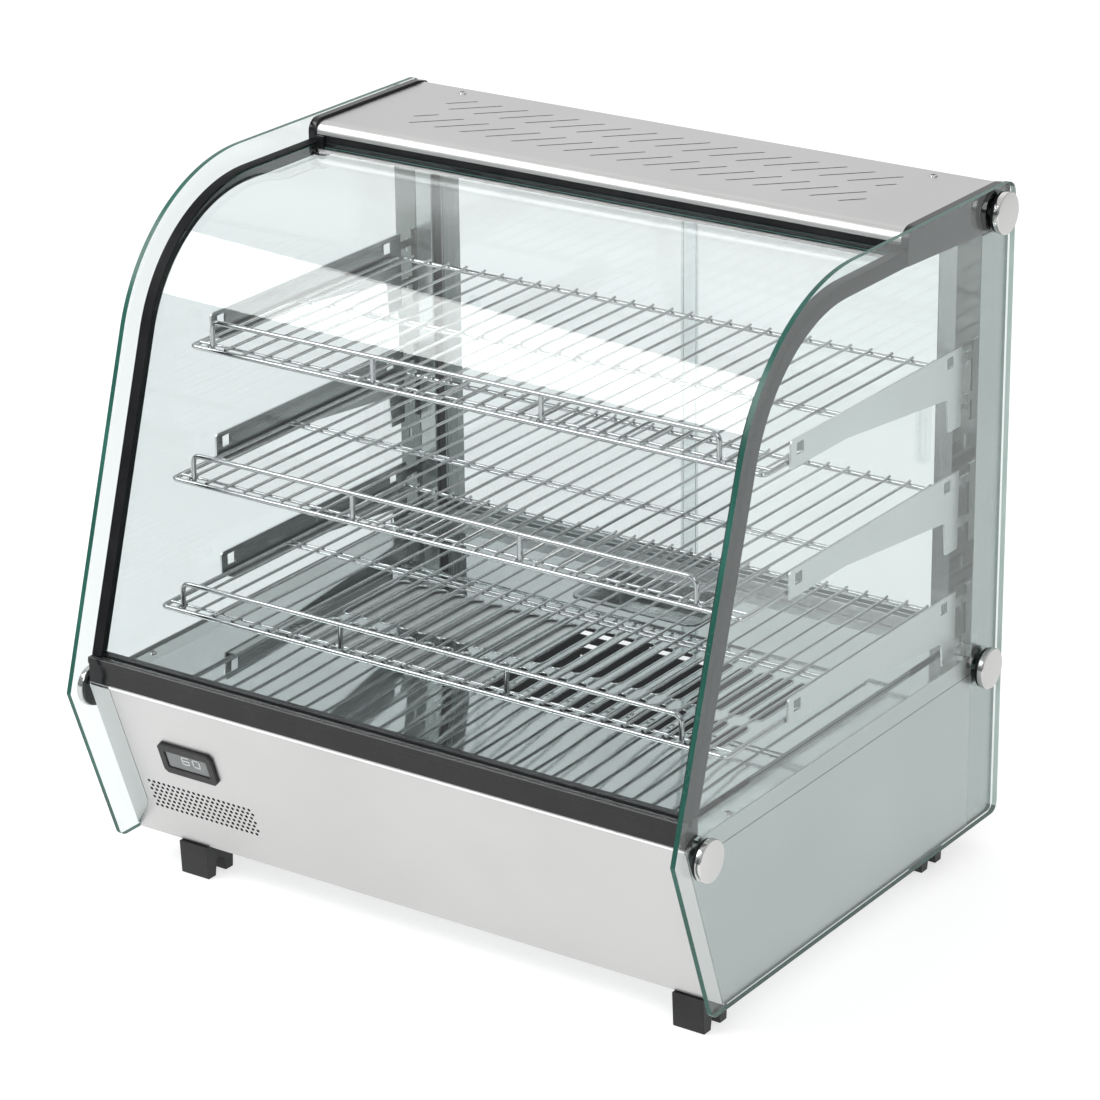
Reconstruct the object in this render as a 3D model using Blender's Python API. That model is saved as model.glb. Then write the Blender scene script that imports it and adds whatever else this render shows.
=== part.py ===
"""Countertop hot food display case: a steel base with a slotted deck, frameless side glasses,
a curved front glass, three wire shelves on hooked arms and two sliding glass doors at the back.

Metres, +Z up, front towards -Y, origin at the middle of the footprint on the worktop.
"""

import math

import bmesh
import bpy
from mathutils import Matrix, Vector

# Driving dimensions
GAP = 0.0003                # clearance between touching pieces
SHEET = 0.0012              # folded steel sheet
GLASS = 0.005               # side and front glass
HEIGHT = 0.670
HALF_DEPTH = 0.286
FOOT_HEIGHT = 0.034
SIDE_GLASS_X = 0.334        # inner face of a side glass
BODY_X = 0.3335             # outer faces of the base, posts and head trims
ARC_RADIUS = 0.190          # big curve at the top of the side glass
DOOR_PANE = 0.005

# Side glass outline: (y, z, corner radius)
SIDE_CORNERS = [
    (-0.225, FOOT_HEIGHT, 0.010),
    (HALF_DEPTH, FOOT_HEIGHT, 0.010),
    (HALF_DEPTH, HEIGHT, 0.014),
    (-0.1421, HEIGHT, ARC_RADIUS),
    (-HALF_DEPTH - 0.0002, 0.205, 0.004),
]
ARC_CENTRE = Vector((-0.002, HEIGHT - ARC_RADIUS))
FRONT_TILT = math.radians(17.2)     # lean of the straight front edge from vertical
FRONT_GLASS_INSET = 0.022
SEAL_OUTER_INSET = 0.0205
SEAL_INNER_INSET = 0.0285
SEAL_WEB_X = 0.331
FRONT_GLASS_X = 0.3285
FRONT_GLASS_BOTTOM = 0.2285
FRONT_GLASS_END = 0.1012

# Standoffs that hold a side glass: (y, z)
STANDOFFS = {"top": (0.2558, 0.646), "rear": (0.2514, 0.1974), "front": (-0.2418, 0.1966)}
CAP_RADIUS = 0.020
CAP_X = (0.3420, 0.3485)
WASHER_X = (0.3393, 0.3417)

# Base
BASE_BOTTOM = 0.0345
BASE_TOP = 0.209
PANEL_TOP = Vector((0.0, -0.261, BASE_TOP))
PANEL_TILT = math.radians(19.44)
PANEL_LENGTH = 0.185
SEAM_X = -0.309
LIP_X = 0.3045
SHELL_BACK = 0.2355
DECK_TOP = 0.215
DECK_X = 0.3035
DECK_FRONT = -0.248
DECK_BACK = 0.243
REAR_FACE = 0.275
BETWEEN_POSTS_X = 0.2887

# Deck slots
SLOT_COUNT = 22
SLOT_PITCH = 0.0221
SLOT_FIRST_X = -0.2215
SLOT_WIDTH = 0.014
SLOT_ROWS = ((-0.0870, -0.0217), (-0.0065, 0.0925))

# Rear posts
POST_X = (0.289, BODY_X)
POST_Y = (0.236, 0.284)
POST_Z = (0.0345, 0.6277)
HOOK_X = (0.3195, 0.3215)
HOOK_PITCH = 0.0405
HOOK_SLOT_X = (0.3188, 0.3222)
HOOK_SLOT_HEIGHT = 0.014
HOOK_SLOT_COUNT = 10

# Shelves
SHELF_PITCH = 3 * HOOK_PITCH
ARM_TOPS = [0.2800 + SHELF_PITCH * level for level in range(3)]
ARM_FRONT = -0.075
SHELF_FRONTS = [-0.172, -0.148, -0.112]
SHELF_BACK = 0.2165
SHELF_X = 0.3185
SHELF_DROP = 0.0215         # from an arm's top edge to the middle of the frame wire
FRAME_WIRE = 0.005
GRID_WIRE = 0.003
GRID_PITCH = 0.022
RAIL_HEIGHT = 0.027
RAIL_X = (-0.290, 0.270)

# Head
HEAD_PANEL_X = 0.3145
HEAD_PANEL_Z = 0.6665
HEAD_PANEL_Y = (0.102, 0.280)
CEILING_Z = 0.6545
VENT_PITCH = 0.030
VENT_RUN = 0.0375
VENT_WIDTH = 0.0018

# Controls on the rear panel: (x, z)
KNOB_AT = (0.120, 0.130)
ROCKERS_AT = (0.205, 0.130)
ROCKER_OFFSET = 0.0125
ROCKER_PIVOT_Y = 0.272
ROCKER_TILT = 0.14
GLAND_AT = (-0.220, 0.080)

# Fan, on a vertical shaft in the left of the base: (x, y)
FAN_AT = (-0.235, 0.010)


# Materials
def material(name, colour, roughness, metallic=0.0, transmission=0.0):
    made = bpy.data.materials.new(name)
    made.use_nodes = True
    surface = made.node_tree.nodes["Principled BSDF"]
    surface.inputs["Base Color"].default_value = (*colour, 1.0)
    surface.inputs["Roughness"].default_value = roughness
    surface.inputs["Metallic"].default_value = metallic
    surface.inputs["Transmission Weight"].default_value = transmission
    made.diffuse_color = (*colour, 1.0)
    return made


for old in list(bpy.data.objects):
    bpy.data.objects.remove(old, do_unlink=True)

STEEL = material("brushed steel", (0.62, 0.62, 0.61), 0.32, 1.0)
MIRROR_STEEL = material("polished steel", (0.78, 0.79, 0.78), 0.08, 1.0)
WIRE = material("chromed wire", (0.70, 0.71, 0.71), 0.14, 1.0)
GALVANISED = material("galvanised steel", (0.50, 0.51, 0.52), 0.45, 1.0)
BLACK = material("black plastic", (0.02, 0.02, 0.02), 0.28)
RUBBER = material("black rubber", (0.03, 0.03, 0.03), 0.65)
CLEAR = material("clear glass", (0.85, 0.93, 0.90), 0.02, 0.0, 0.95)
HEATER = material("heater tube", (0.25, 0.23, 0.22), 0.5, 1.0)
LAMP = material("lamp cover", (0.92, 0.90, 0.84), 0.35)


# Mesh helpers
AXES = {"X": Vector((1, 0, 0)), "Y": Vector((0, 1, 0)), "Z": Vector((0, 0, 1))}


def at_level(axis, level, a, b):
    """The point (a, b) of an outline drawn square to an axis: (y, z), (x, z) or (x, y)."""
    if axis == "X":
        return Vector((level, a, b))
    if axis == "Y":
        return Vector((a, level, b))
    return Vector((a, b, level))


def extruded(outline, axis, low, high, holes=()):
    """A plate or bar: an outline, with any holes, carried from low to high along an axis."""
    bm = bmesh.new()
    for loop in (outline, *holes):
        corners = [bm.verts.new(at_level(axis, low, a, b)) for a, b in loop]
        for first, second in zip(corners, corners[1:] + corners[:1]):
            bm.edges.new((first, second))
    if holes:
        bmesh.ops.triangle_fill(bm, use_beauty=True, edges=bm.edges[:])
    else:
        bm.faces.new(bm.verts[:])
    grown = bmesh.ops.extrude_face_region(bm, geom=bm.faces[:])
    moved = [item for item in grown["geom"] if isinstance(item, bmesh.types.BMVert)]
    bmesh.ops.translate(bm, vec=AXES[axis] * (high - low), verts=moved)
    bmesh.ops.recalc_face_normals(bm, faces=bm.faces[:])
    return bm


def block(low, high):
    """A rectangular block between two corners."""
    outline = rectangle(low[0], high[0], low[1], high[1])
    return extruded(outline, "Z", low[2], high[2])


def skinned(rings):
    """A body through a row of rings of points, closed at its first and last ring."""
    bm = bmesh.new()
    rows = [[bm.verts.new(point) for point in ring] for ring in rings]
    for lower, upper in zip(rows, rows[1:]):
        for i in range(len(lower)):
            j = (i + 1) % len(lower)
            bm.faces.new((lower[i], lower[j], upper[j], upper[i]))
    bm.faces.new(rows[0][::-1])
    bm.faces.new(rows[-1])
    bmesh.ops.recalc_face_normals(bm, faces=bm.faces[:])
    return bm


def turned(profile, axis, centre, steps=32):
    """A round piece: (radius, level) pairs spun about an axis, closed where the radius is 0.

    A profile with no point on the axis is a closed ring section.
    """
    bm = bmesh.new()
    ring = profile[0][0] > 0 and profile[-1][0] > 0
    corners = [bm.verts.new((radius, 0, level)) for radius, level in profile]
    pairs = list(zip(corners, corners[1:]))
    if ring:
        pairs.append((corners[-1], corners[0]))
    edges = [bm.edges.new(pair) for pair in pairs]
    bmesh.ops.spin(
        bm, geom=corners + edges, cent=(0, 0, 0), axis=(0, 0, 1),
        angle=2 * math.pi, steps=steps, use_merge=True,
    )
    bmesh.ops.remove_doubles(bm, verts=bm.verts[:], dist=1e-6)
    bmesh.ops.recalc_face_normals(bm, faces=bm.faces[:])
    turn = Vector((0, 0, 1)).rotation_difference(AXES[axis]).to_matrix().to_4x4()
    bm.transform(Matrix.Translation(centre) @ turn)
    return bm


def rectangle(left, right, near, far):
    return [(left, near), (right, near), (right, far), (left, far)]


def circle(centre, radius, steps=24):
    turns = [2 * math.pi * i / steps for i in range(steps)]
    return [(centre[0] + radius * math.cos(t), centre[1] + radius * math.sin(t)) for t in turns]


def rounded(corners, steps=6):
    """An outline whose (a, b, radius) corners are rounded by arcs."""
    points = []
    for i, (a, b, radius) in enumerate(corners):
        here = Vector((a, b))
        before = (Vector(corners[i - 1][:2]) - here).normalized()
        after = (Vector(corners[(i + 1) % len(corners)][:2]) - here).normalized()
        half = before.angle(after) / 2
        centre = here + (before + after).normalized() * radius / math.sin(half)
        start = here + before * radius / math.tan(half) - centre
        end = here + after * radius / math.tan(half) - centre
        turn = math.atan2(start.x * end.y - start.y * end.x, start.dot(end))
        count = max(steps, round(100 * radius))
        for k in range(count + 1):
            offset = start.copy()
            offset.rotate(Matrix.Rotation(turn * k / count, 2))
            points.append(tuple(centre + offset))
    return points


def rounded_rectangle(left, right, near, far, radius, steps=5):
    return rounded([(a, b, radius) for a, b in rectangle(left, right, near, far)], steps)


def slot(centre_x, near, far, width, steps=4):
    """A front-to-back slot with round ends."""
    radius = width / 2
    points = []
    for middle, start in ((far - radius, 0.0), (near + radius, math.pi)):
        for k in range(steps + 1):
            turn = start + math.pi * k / steps
            points.append((centre_x + radius * math.cos(turn), middle + radius * math.sin(turn)))
    return points


def node(name, bm, finish, origin=(0, 0, 0), smooth=None):
    """One named piece, with its origin where it turns or stands."""
    bm.transform(Matrix.Translation(-Vector(origin)))
    mesh = bpy.data.meshes.new(name)
    bm.to_mesh(mesh)
    bm.free()
    mesh.materials.append(finish)
    if smooth:
        mesh.shade_smooth()
        mesh.set_sharp_from_angle(angle=math.radians(smooth))
    made = bpy.data.objects.new(name, mesh)
    made.location = origin
    bpy.context.scene.collection.objects.link(made)
    return made


def combine(piece, bm, operation):
    """Adds a shape to a piece, or cuts it away, with a hidden helper."""
    helper = node(f"{piece.name}_helper_{len(piece.modifiers)}", bm, STEEL)
    helper.hide_render = True
    helper.display_type = "WIRE"
    change = piece.modifiers.new(operation.lower(), "BOOLEAN")
    change.operation = operation
    change.solver = "EXACT"
    change.object = helper


def add(piece, bm):
    combine(piece, bm, "UNION")


def cut(piece, bm):
    combine(piece, bm, "DIFFERENCE")


def merged(meshes):
    """Several separate shapes as one cutter."""
    whole = bmesh.new()
    for bm in meshes:
        shape = bpy.data.meshes.new("cutter")
        bm.to_mesh(shape)
        bm.free()
        whole.from_mesh(shape)
        bpy.data.meshes.remove(shape)
    return whole


def span(side, low, high):
    """A stretch of |x| on the left (-1) or the right (+1), as low and high x."""
    return sorted((side * low, side * high))


def bore(x_low, x_high, y, z, diameter):
    """A round cutter along X."""
    return extruded(circle((y, z), diameter / 2), "X", x_low, x_high)


SIDES = {"left": -1, "right": 1}


# Front curve, shared by the front glass and its seals
def front_curve(inset, bottom, end, steps=16):
    """(y, z) points of the side glass's front edge moved inwards: up the straight, round the
    arc, then back along the top to y = end."""
    radius = ARC_RADIUS - inset
    normal = Vector((-math.cos(FRONT_TILT), math.sin(FRONT_TILT)))
    along = Vector((math.sin(FRONT_TILT), math.cos(FRONT_TILT)))
    tangent = ARC_CENTRE + normal * radius
    rise = (tangent.y - bottom) / along.y
    points = [tangent - along * rise]
    first = math.pi - FRONT_TILT
    for k in range(steps + 1):
        turn = first + (math.pi / 2 - first) * k / steps
        points.append(ARC_CENTRE + radius * Vector((math.cos(turn), math.sin(turn))))
    points.append(Vector((end, ARC_CENTRE.y + radius)))
    return [tuple(point) for point in points]


def make_side_glass(name, side):
    holes = [circle(place, 0.0055, 12) for place in STANDOFFS.values()]
    low, high = span(side, SIDE_GLASS_X, SIDE_GLASS_X + GLASS)
    node(f"side_glass_{name}", extruded(rounded(SIDE_CORNERS), "X", low, high, holes), CLEAR)


def make_standoffs(name, side):
    for place, (y, z) in STANDOFFS.items():
        inner, outer = CAP_X
        cap = [
            (0, 0.3255), (0.0040, 0.3255), (0.0040, inner), (0.0192, inner),
            (CAP_RADIUS, inner + 0.0008), (CAP_RADIUS, outer - 0.0010), (0.0190, outer), (0, outer),
        ]
        cap = [(radius, side * level) for radius, level in cap]
        node(f"glass_cap_{place}_{name}", turned(cap, "X", (0, y, z), 20), STEEL, (0, y, z), 40)
        low, high = WASHER_X
        ring = [(0.0045, low), (0.0190, low), (0.0190, high), (0.0045, high)]
        ring = [(radius, side * level) for radius, level in ring]
        node(f"glass_washer_{place}_{name}", turned(ring, "X", (0, y, z), 16), RUBBER, (0, y, z), 40)


def make_front_glass():
    outer = front_curve(FRONT_GLASS_INSET, FRONT_GLASS_BOTTOM, FRONT_GLASS_END)
    inner = front_curve(FRONT_GLASS_INSET + GLASS, FRONT_GLASS_BOTTOM, FRONT_GLASS_END)
    band = outer + inner[::-1]
    node("front_glass", extruded(band, "X", -FRONT_GLASS_X, FRONT_GLASS_X), CLEAR, smooth=30)


def make_front_seal(name, side):
    """A U strip over the glass's side edge."""
    leg = 0.0012
    section = [
        (SEAL_WEB_X, 0), (SEAL_WEB_X, 1), (0.317, 1), (0.317, 1 - leg),
        (FRONT_GLASS_X + GAP, 1 - leg), (FRONT_GLASS_X + GAP, leg), (0.317, leg), (0.317, 0),
    ]
    depth = SEAL_INNER_INSET - SEAL_OUTER_INSET
    columns = []
    for x, share in section:
        inset = SEAL_OUTER_INSET + {0: 0, leg: leg, 1 - leg: depth - leg, 1: depth}[share]
        points = front_curve(inset, 0.2355, 0.0997)
        columns.append([Vector((side * x, y, z)) for y, z in points])
    node(f"front_seal_{name}", skinned(list(zip(*columns))), RUBBER, smooth=30)


def make_front_rail():
    """Extrusion with a lip, a groove for the glass and a foot over the deck's front edge."""
    top = 0.235
    groove_front = front_curve(FRONT_GLASS_INSET - GAP, 0.2282, 0.1)[0]
    groove_back = front_curve(FRONT_GLASS_INSET + GLASS + GAP, 0.2282, 0.1)[0]
    mouth_front = front_curve(FRONT_GLASS_INSET - GAP, top, 0.1)[0]
    mouth_back = front_curve(FRONT_GLASS_INSET + GLASS + GAP, top, 0.1)[0]
    outline = [
        (-0.2600, 0.2095), (-0.2485, 0.2095), (-0.2485, 0.2155), (-0.2400, 0.2155), (-0.2400, top),
        mouth_back, groove_back, groove_front, mouth_front,
        (-0.2605, top), (-0.2612, 0.2343), (-0.2612, 0.2285), (-0.2600, 0.2285),
    ]
    node("front_rail", extruded(outline, "X", -0.3325, 0.3325), BLACK)


def make_front_top_seal():
    outline = [
        (0.0955, 0.6397), (0.1075, 0.6397), (0.1075, 0.6547), (0.1030, 0.6547),
        (0.1030, 0.6470), (0.1016, 0.6470), (0.1016, 0.6427), (0.0955, 0.6427),
    ]
    node("front_top_seal", extruded(outline, "X", -HEAD_PANEL_X, HEAD_PANEL_X), RUBBER)


# Base
def on_slope(bm):
    """Carries a shape drawn as (x, distance down the slope, depth) onto the front panel."""
    down = Vector((0, math.sin(PANEL_TILT), -math.cos(PANEL_TILT)))
    inward = Vector((0, math.cos(PANEL_TILT), math.sin(PANEL_TILT)))
    frame = Matrix((AXES["X"], down, inward)).transposed().to_4x4()
    bm.transform(Matrix.Translation(PANEL_TOP) @ frame)
    return bm


def make_base_shell():
    """Bottom, two sides with inward lips, and the narrow flange at the left of the front."""
    inside = BODY_X - SHEET
    floor = BASE_BOTTOM + SHEET
    under_lip = BASE_TOP - SHEET
    half = [
        (LIP_X, BASE_TOP), (BODY_X, BASE_TOP), (BODY_X, BASE_BOTTOM),
    ]
    inner_half = [(inside, floor), (inside, under_lip), (LIP_X, under_lip)]
    outline = [(-x, z) for x, z in half] + half[::-1]
    outline += inner_half[::-1] + [(-x, z) for x, z in inner_half]
    shell = node("base_shell", extruded(outline, "Y", -0.262, SHELL_BACK), STEEL)
    ahead = rectangle(-0.34, 0.34, -0.02, 0.21)
    cut(shell, on_slope(extruded(ahead, "Z", -0.08, SHEET + GAP)))
    x = SEAM_X - GAP
    flange = [
        (-BODY_X + GAP, 0.003), (x, 0.003), (x, 0.1432), (x - 0.004, 0.1523), (-BODY_X + GAP, 0.1800),
    ]
    add(shell, on_slope(extruded(flange, "Z", 0, SHEET)))
    web = rectangle(-BODY_X + GAP, -inside - GAP, 0.003, 0.178)
    add(shell, on_slope(extruded(web, "Z", 0.0006, 0.012)))
    for side in SIDES.values():
        low, high = span(side, inside - 0.002, BODY_X + 0.002)
        cut(shell, bore(low, high, *STANDOFFS["front"], 0.009))


def make_front_panel():
    seam = SEAM_X
    right = 0.3325
    outline = [
        (seam, 0.0003), (right, 0.0003), (right, PANEL_LENGTH), (-right, PANEL_LENGTH),
        (-right, 0.1810), (seam - 0.004, 0.1530), (seam, 0.1437),
    ]
    window = rectangle(-0.2655, -0.2060, 0.0585, 0.0890)
    panel = node("front_panel", on_slope(extruded(outline, "Z", 0, SHEET, [window])), STEEL)
    tuck = LIP_X - GAP
    add(panel, block((-tuck, -0.2602, BASE_TOP - 0.0014), (tuck, -0.2495, BASE_TOP - 0.0002)))


def make_display_bezel():
    left, right, top, bottom = -0.2680, -0.2035, 0.0555, 0.0920
    chamfer = 0.004
    face = [
        (left + chamfer, top), (right - chamfer, top), (right, top + chamfer),
        (right, bottom - chamfer), (right - chamfer, bottom), (left + chamfer, bottom),
        (left, bottom - chamfer), (left, top + chamfer),
    ]
    bezel = node("display_bezel", on_slope(extruded(face, "Z", -0.0035, -GAP)), BLACK)
    add(bezel, on_slope(extruded(rectangle(-0.2650, -0.2065, 0.0590, 0.0885), "Z", -0.001, 0.014)))
    cut(bezel, on_slope(extruded(rectangle(-0.2608, -0.2108, 0.0638, 0.0838), "Z", -0.004, -0.0022)))


def make_rear_panel():
    """Back of the base, folded forwards at its top and bottom, with holes for the controls."""
    back = REAR_FACE
    outline = [
        (0.2445, DECK_TOP - SHEET), (back - SHEET, DECK_TOP - SHEET),
        (back - SHEET, BASE_BOTTOM + SHEET), (0.2360, BASE_BOTTOM + SHEET),
        (0.2360, BASE_BOTTOM), (back, BASE_BOTTOM), (back, DECK_TOP), (0.2445, DECK_TOP),
    ]
    panel = node("rear_panel", extruded(outline, "X", -BETWEEN_POSTS_X, BETWEEN_POSTS_X), STEEL)
    low, high = back - 0.004, back + 0.002
    openings = [
        extruded(circle(KNOB_AT, 0.006, 16), "Y", low, high),
        extruded(circle(GLAND_AT, 0.0085, 16), "Y", low, high),
    ]
    x, z = ROCKERS_AT
    openings.append(extruded(rectangle(x - 0.0235, x + 0.0235, z - 0.0135, z + 0.0135), "Y", low, high))
    for row in range(5):
        for column in range(2):
            left, bottom = -0.140 + 0.085 * column, 0.085 + 0.014 * row
            openings.append(extruded(rectangle(left, left + 0.070, bottom, bottom + 0.005), "Y", low, high))
    cut(panel, merged(openings))


def deck_outline(inset):
    x, notch = DECK_X - inset, BETWEEN_POSTS_X - inset
    front, back, step = DECK_FRONT + inset, DECK_BACK - inset, 0.2345 - inset
    right = [(x, front), (x, step), (notch, step), (notch, back)]
    return [(-a, b) for a, b in right[::-1]] + right


def make_deck():
    """Polished lid of the base, with air slots and an opening for the water tray."""
    slots = []
    for i in range(SLOT_COUNT):
        for near, far in SLOT_ROWS:
            slots.append(slot(SLOT_FIRST_X + i * SLOT_PITCH, near, far, SLOT_WIDTH))
    tray = rounded_rectangle(-0.0630, 0.0760, 0.1510, 0.2310, 0.008)
    outline = deck_outline(0)
    deck = node("deck", extruded(outline, "Z", DECK_TOP - SHEET, DECK_TOP, [*slots, tray]), MIRROR_STEEL)
    inner = deck_outline(SHEET + GAP)
    add(deck, extruded(deck_outline(GAP), "Z", 0.196, DECK_TOP - SHEET / 2, [inner]))


def make_water_tray():
    left, right, near, far = -0.0670, 0.0800, 0.1470, 0.2350
    rim_low, rim_high, floor, wall = DECK_TOP + GAP, DECK_TOP + 0.0013, 0.186, 0.001

    def ring(inset, level):
        loop = rounded_rectangle(left + inset, right - inset, near + inset, far - inset, 0.012 - inset)
        return [Vector((x, y, level)) for x, y in loop]

    rings = [
        ring(0.0070, floor), ring(0.0045, rim_low), ring(0.0, rim_low), ring(0.0, rim_high),
        ring(0.0045 + wall, rim_high), ring(0.0070 + wall, floor + wall),
    ]
    node("water_tray", skinned(rings), STEEL, smooth=40)


def make_heater():
    """Heater tube bent in a flat serpentine, with both ends down on its shield."""
    level, pitch, reach, turns = 0.125, 0.036, 0.075, 10
    points = [(-0.150, reach, 0.104), (-0.150, reach, level - 0.010), (-0.150, reach - 0.010, level)]
    for leg in range(turns):
        x = -0.150 + pitch * leg
        sign = 1 if leg % 2 == 0 else -1
        points.append((x, -sign * (reach - pitch / 2), level))
        if leg == turns - 1:
            continue
        for k in range(1, 6):
            turn = math.pi * k / 6
            bend = Vector((-math.cos(turn), -sign * math.sin(turn))) * pitch / 2
            points.append((x + pitch / 2 + bend.x, -sign * (reach - pitch / 2) + bend.y, level))
        points.append((x + pitch, -sign * (reach - pitch / 2), level))
    x = -0.150 + pitch * (turns - 1)
    points += [(x, reach - 0.010, level), (x, reach, level - 0.010), (x, reach, 0.104)]
    curve = bpy.data.curves.new("heater_element", "CURVE")
    curve.dimensions = "3D"
    spline = curve.splines.new("POLY")
    spline.points.add(len(points) - 1)
    for target, point in zip(spline.points, points):
        target.co = (*point, 1)
    curve.bevel_depth = 0.004
    curve.bevel_resolution = 1
    curve.use_fill_caps = True
    curve.materials.append(HEATER)
    bpy.context.scene.collection.objects.link(bpy.data.objects.new("heater_element", curve))


def make_heat_shield():
    near, far, top, foot = -0.1650, 0.1350, 0.1000, BASE_BOTTOM + SHEET + GAP
    outline = [
        (near, foot), (near, top), (far, top), (far, foot), (far - SHEET, foot),
        (far - SHEET, top - SHEET), (near + SHEET, top - SHEET), (near + SHEET, foot),
    ]
    node("heat_shield", extruded(outline, "X", -0.172, 0.262), GALVANISED)


def make_fan():
    x, y = FAN_AT
    bottom = BASE_BOTTOM + SHEET + GAP
    can = [
        (0, 0), (0.030, 0), (0.030, 0.002), (0.026, 0.0045), (0.026, 0.034), (0.023, 0.037),
        (0.008, 0.037), (0.008, 0.041), (0.003, 0.041), (0.003, 0.070), (0, 0.070),
    ]
    node("fan_motor", turned(can, "Z", (x, y, bottom), 16), GALVANISED, (x, y, 0), 40)
    hub, tip, blades, thick = 0.012, 0.046, 12, 0.0011
    star = []
    for i in range(blades):
        turn = 2 * math.pi * i / blades
        out = Vector((math.cos(turn), math.sin(turn)))
        across = Vector((-out.y, out.x)) * thick
        for point in (out * hub - across, out * tip - across, out * tip + across, out * hub + across):
            star.append((x + point.x, y + point.y))
    hole = circle((x, y), 0.0034, 12)
    low = bottom + 0.0416
    wheel = node("fan_impeller", extruded(star, "Z", low + 0.001, low + 0.026, [hole]), GALVANISED, (x, y, 0))
    add(wheel, extruded(circle((x, y), 0.048, 24), "Z", low, low + 0.0018, [circle((x, y), 0.0036, 12)]))


# Controls
def make_thermostat():
    x, z = KNOB_AT
    body = node("thermostat_body", block((x - 0.02, 0.236, z - 0.018), (x + 0.02, 0.2735, z + 0.018)), GALVANISED)
    cut(body, extruded(circle((x, z), 0.0038, 16), "Y", 0.258, 0.280))
    profile = [
        (0, 0.2600), (0.0030, 0.2600), (0.0030, 0.2754), (0.0195, 0.2754), (0.0200, 0.2762),
        (0.0170, 0.2790), (0.0155, 0.2850), (0.0145, 0.2858), (0, 0.2858),
    ]
    knob = node("thermostat_knob", turned(profile, "Y", (x, 0, z), 24), BLACK, (x, 0.28, z), 40)
    grip = block((x - 0.0022, 0.2782, z + 0.001), (x + 0.0022, 0.28585, z + 0.0188))
    add(knob, grip)


def make_switches():
    x, z = ROCKERS_AT
    low, high = REAR_FACE + GAP, REAR_FACE + 0.0024
    housing = node(
        "switch_housing",
        extruded(rounded_rectangle(x - 0.026, x + 0.026, z - 0.016, z + 0.016, 0.002, 3), "Y", low, high),
        BLACK,
    )
    add(housing, block((x - 0.0230, 0.2520, z - 0.0130), (x + 0.0230, low + 0.001, z + 0.0130)))
    for name, offset in (("power_rocker", -ROCKER_OFFSET), ("lamp_rocker", ROCKER_OFFSET)):
        middle = x + offset
        cut(housing, block((middle - 0.0098, 0.2600, z - 0.0117), (middle + 0.0098, 0.2850, z + 0.0117)))
        face = [
            (0.2640, z - 0.0050), (0.2745, z - 0.0103), (0.2790, z - 0.0103), (0.2770, z),
            (0.2790, z + 0.0103), (0.2745, z + 0.0103), (0.2640, z + 0.0050),
        ]
        pivot = Vector((middle, ROCKER_PIVOT_Y, z))
        rocker = extruded(face, "X", middle - 0.0090, middle + 0.0090)
        tilt = Matrix.Rotation(-ROCKER_TILT, 4, "X")
        rocker.transform(Matrix.Translation(pivot) @ tilt @ Matrix.Translation(-pivot))
        node(name, rocker, BLACK, pivot)


def make_gland():
    x, z = GLAND_AT
    profile = [
        (0, 0.2620), (0.0078, 0.2620), (0.0078, 0.2754), (0.0125, 0.2754), (0.0125, 0.2795),
        (0.0105, 0.2805), (0.0095, 0.2845), (0.0080, 0.2855), (0.0045, 0.2855), (0.0045, 0.2680),
        (0, 0.2680),
    ]
    node("cable_gland", turned(profile, "Y", (x, 0, z), 16), BLACK, (x, 0.28, z), 40)


# Feet
def make_foot(name, left, near):
    """A moulded foot: two legs with an arch between, a little narrower at the bottom."""
    width, depth = 0.0330, 0.0410
    top = BASE_BOTTOM - GAP
    outline = [
        (0.0020, 0), (0.0130, 0), (0.0150, 0.0130), (0.0175, 0.0170), (0.0235, 0.0170),
        (0.0260, 0.0130), (0.0280, 0), (0.0390, 0), (depth, top), (0, top),
    ]
    outline = [(near + y, z) for y, z in outline]
    foot = node(name, extruded(outline, "X", left, left + width), BLACK, (left, near, 0))
    edges = foot.modifiers.new("edges", "BEVEL")
    edges.width = 0.0008
    edges.segments = 1


# Rear posts and shelf arms
def make_post(name, side):
    """A box column, open at both ends, with slots for the arms' hooks in its front face."""
    low, high = POST_X
    wall = SHEET
    outline = rectangle(*span(side, low, high), *POST_Y)
    hollow = rectangle(*span(side, low + wall, high - wall), POST_Y[0] + wall, POST_Y[1] - wall)
    post = node(f"rear_post_{name}", extruded(outline, "Z", *POST_Z, [hollow]), STEEL)
    cutters = []
    for i in range(HOOK_SLOT_COUNT):
        top = ARM_TOPS[-1] - 0.008 - HOOK_PITCH * i
        x_low, x_high = span(side, *HOOK_SLOT_X)
        cutters.append(block((x_low, POST_Y[0] - 0.002, top - HOOK_SLOT_HEIGHT), (x_high, POST_Y[0] + 0.003, top)))
    x_low, x_high = span(side, high - 0.003, high + 0.002)
    cutters.append(bore(x_low, x_high, *STANDOFFS["rear"], 0.009))
    cut(post, merged(cutters))


def arm_outline(top):
    """Web of a shelf arm: (y, z), with two hooks at its back edge."""
    back, neck, hook, tongue = 0.2250, 0.2410, 0.2378, 0.0030
    foot = max(top - 0.0780, BASE_TOP + 0.0015)
    outline = [
        (ARM_FRONT, top - 0.0265), (0.020, top - 0.0265), (0.200, top - 0.0450),
        (0.203, foot), (back, foot),
    ]
    for level in (1, 0):
        upper = top - 0.008 - HOOK_PITCH * level - 0.0010
        lower = upper - 0.0080
        outline += [
            (back, lower), (hook, lower), (hook, lower - tongue), (neck, lower - tongue),
            (neck, upper), (back, upper),
        ]
    return outline + [(back, top), (ARM_FRONT + 0.003, top), (ARM_FRONT, top - 0.003)]


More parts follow.
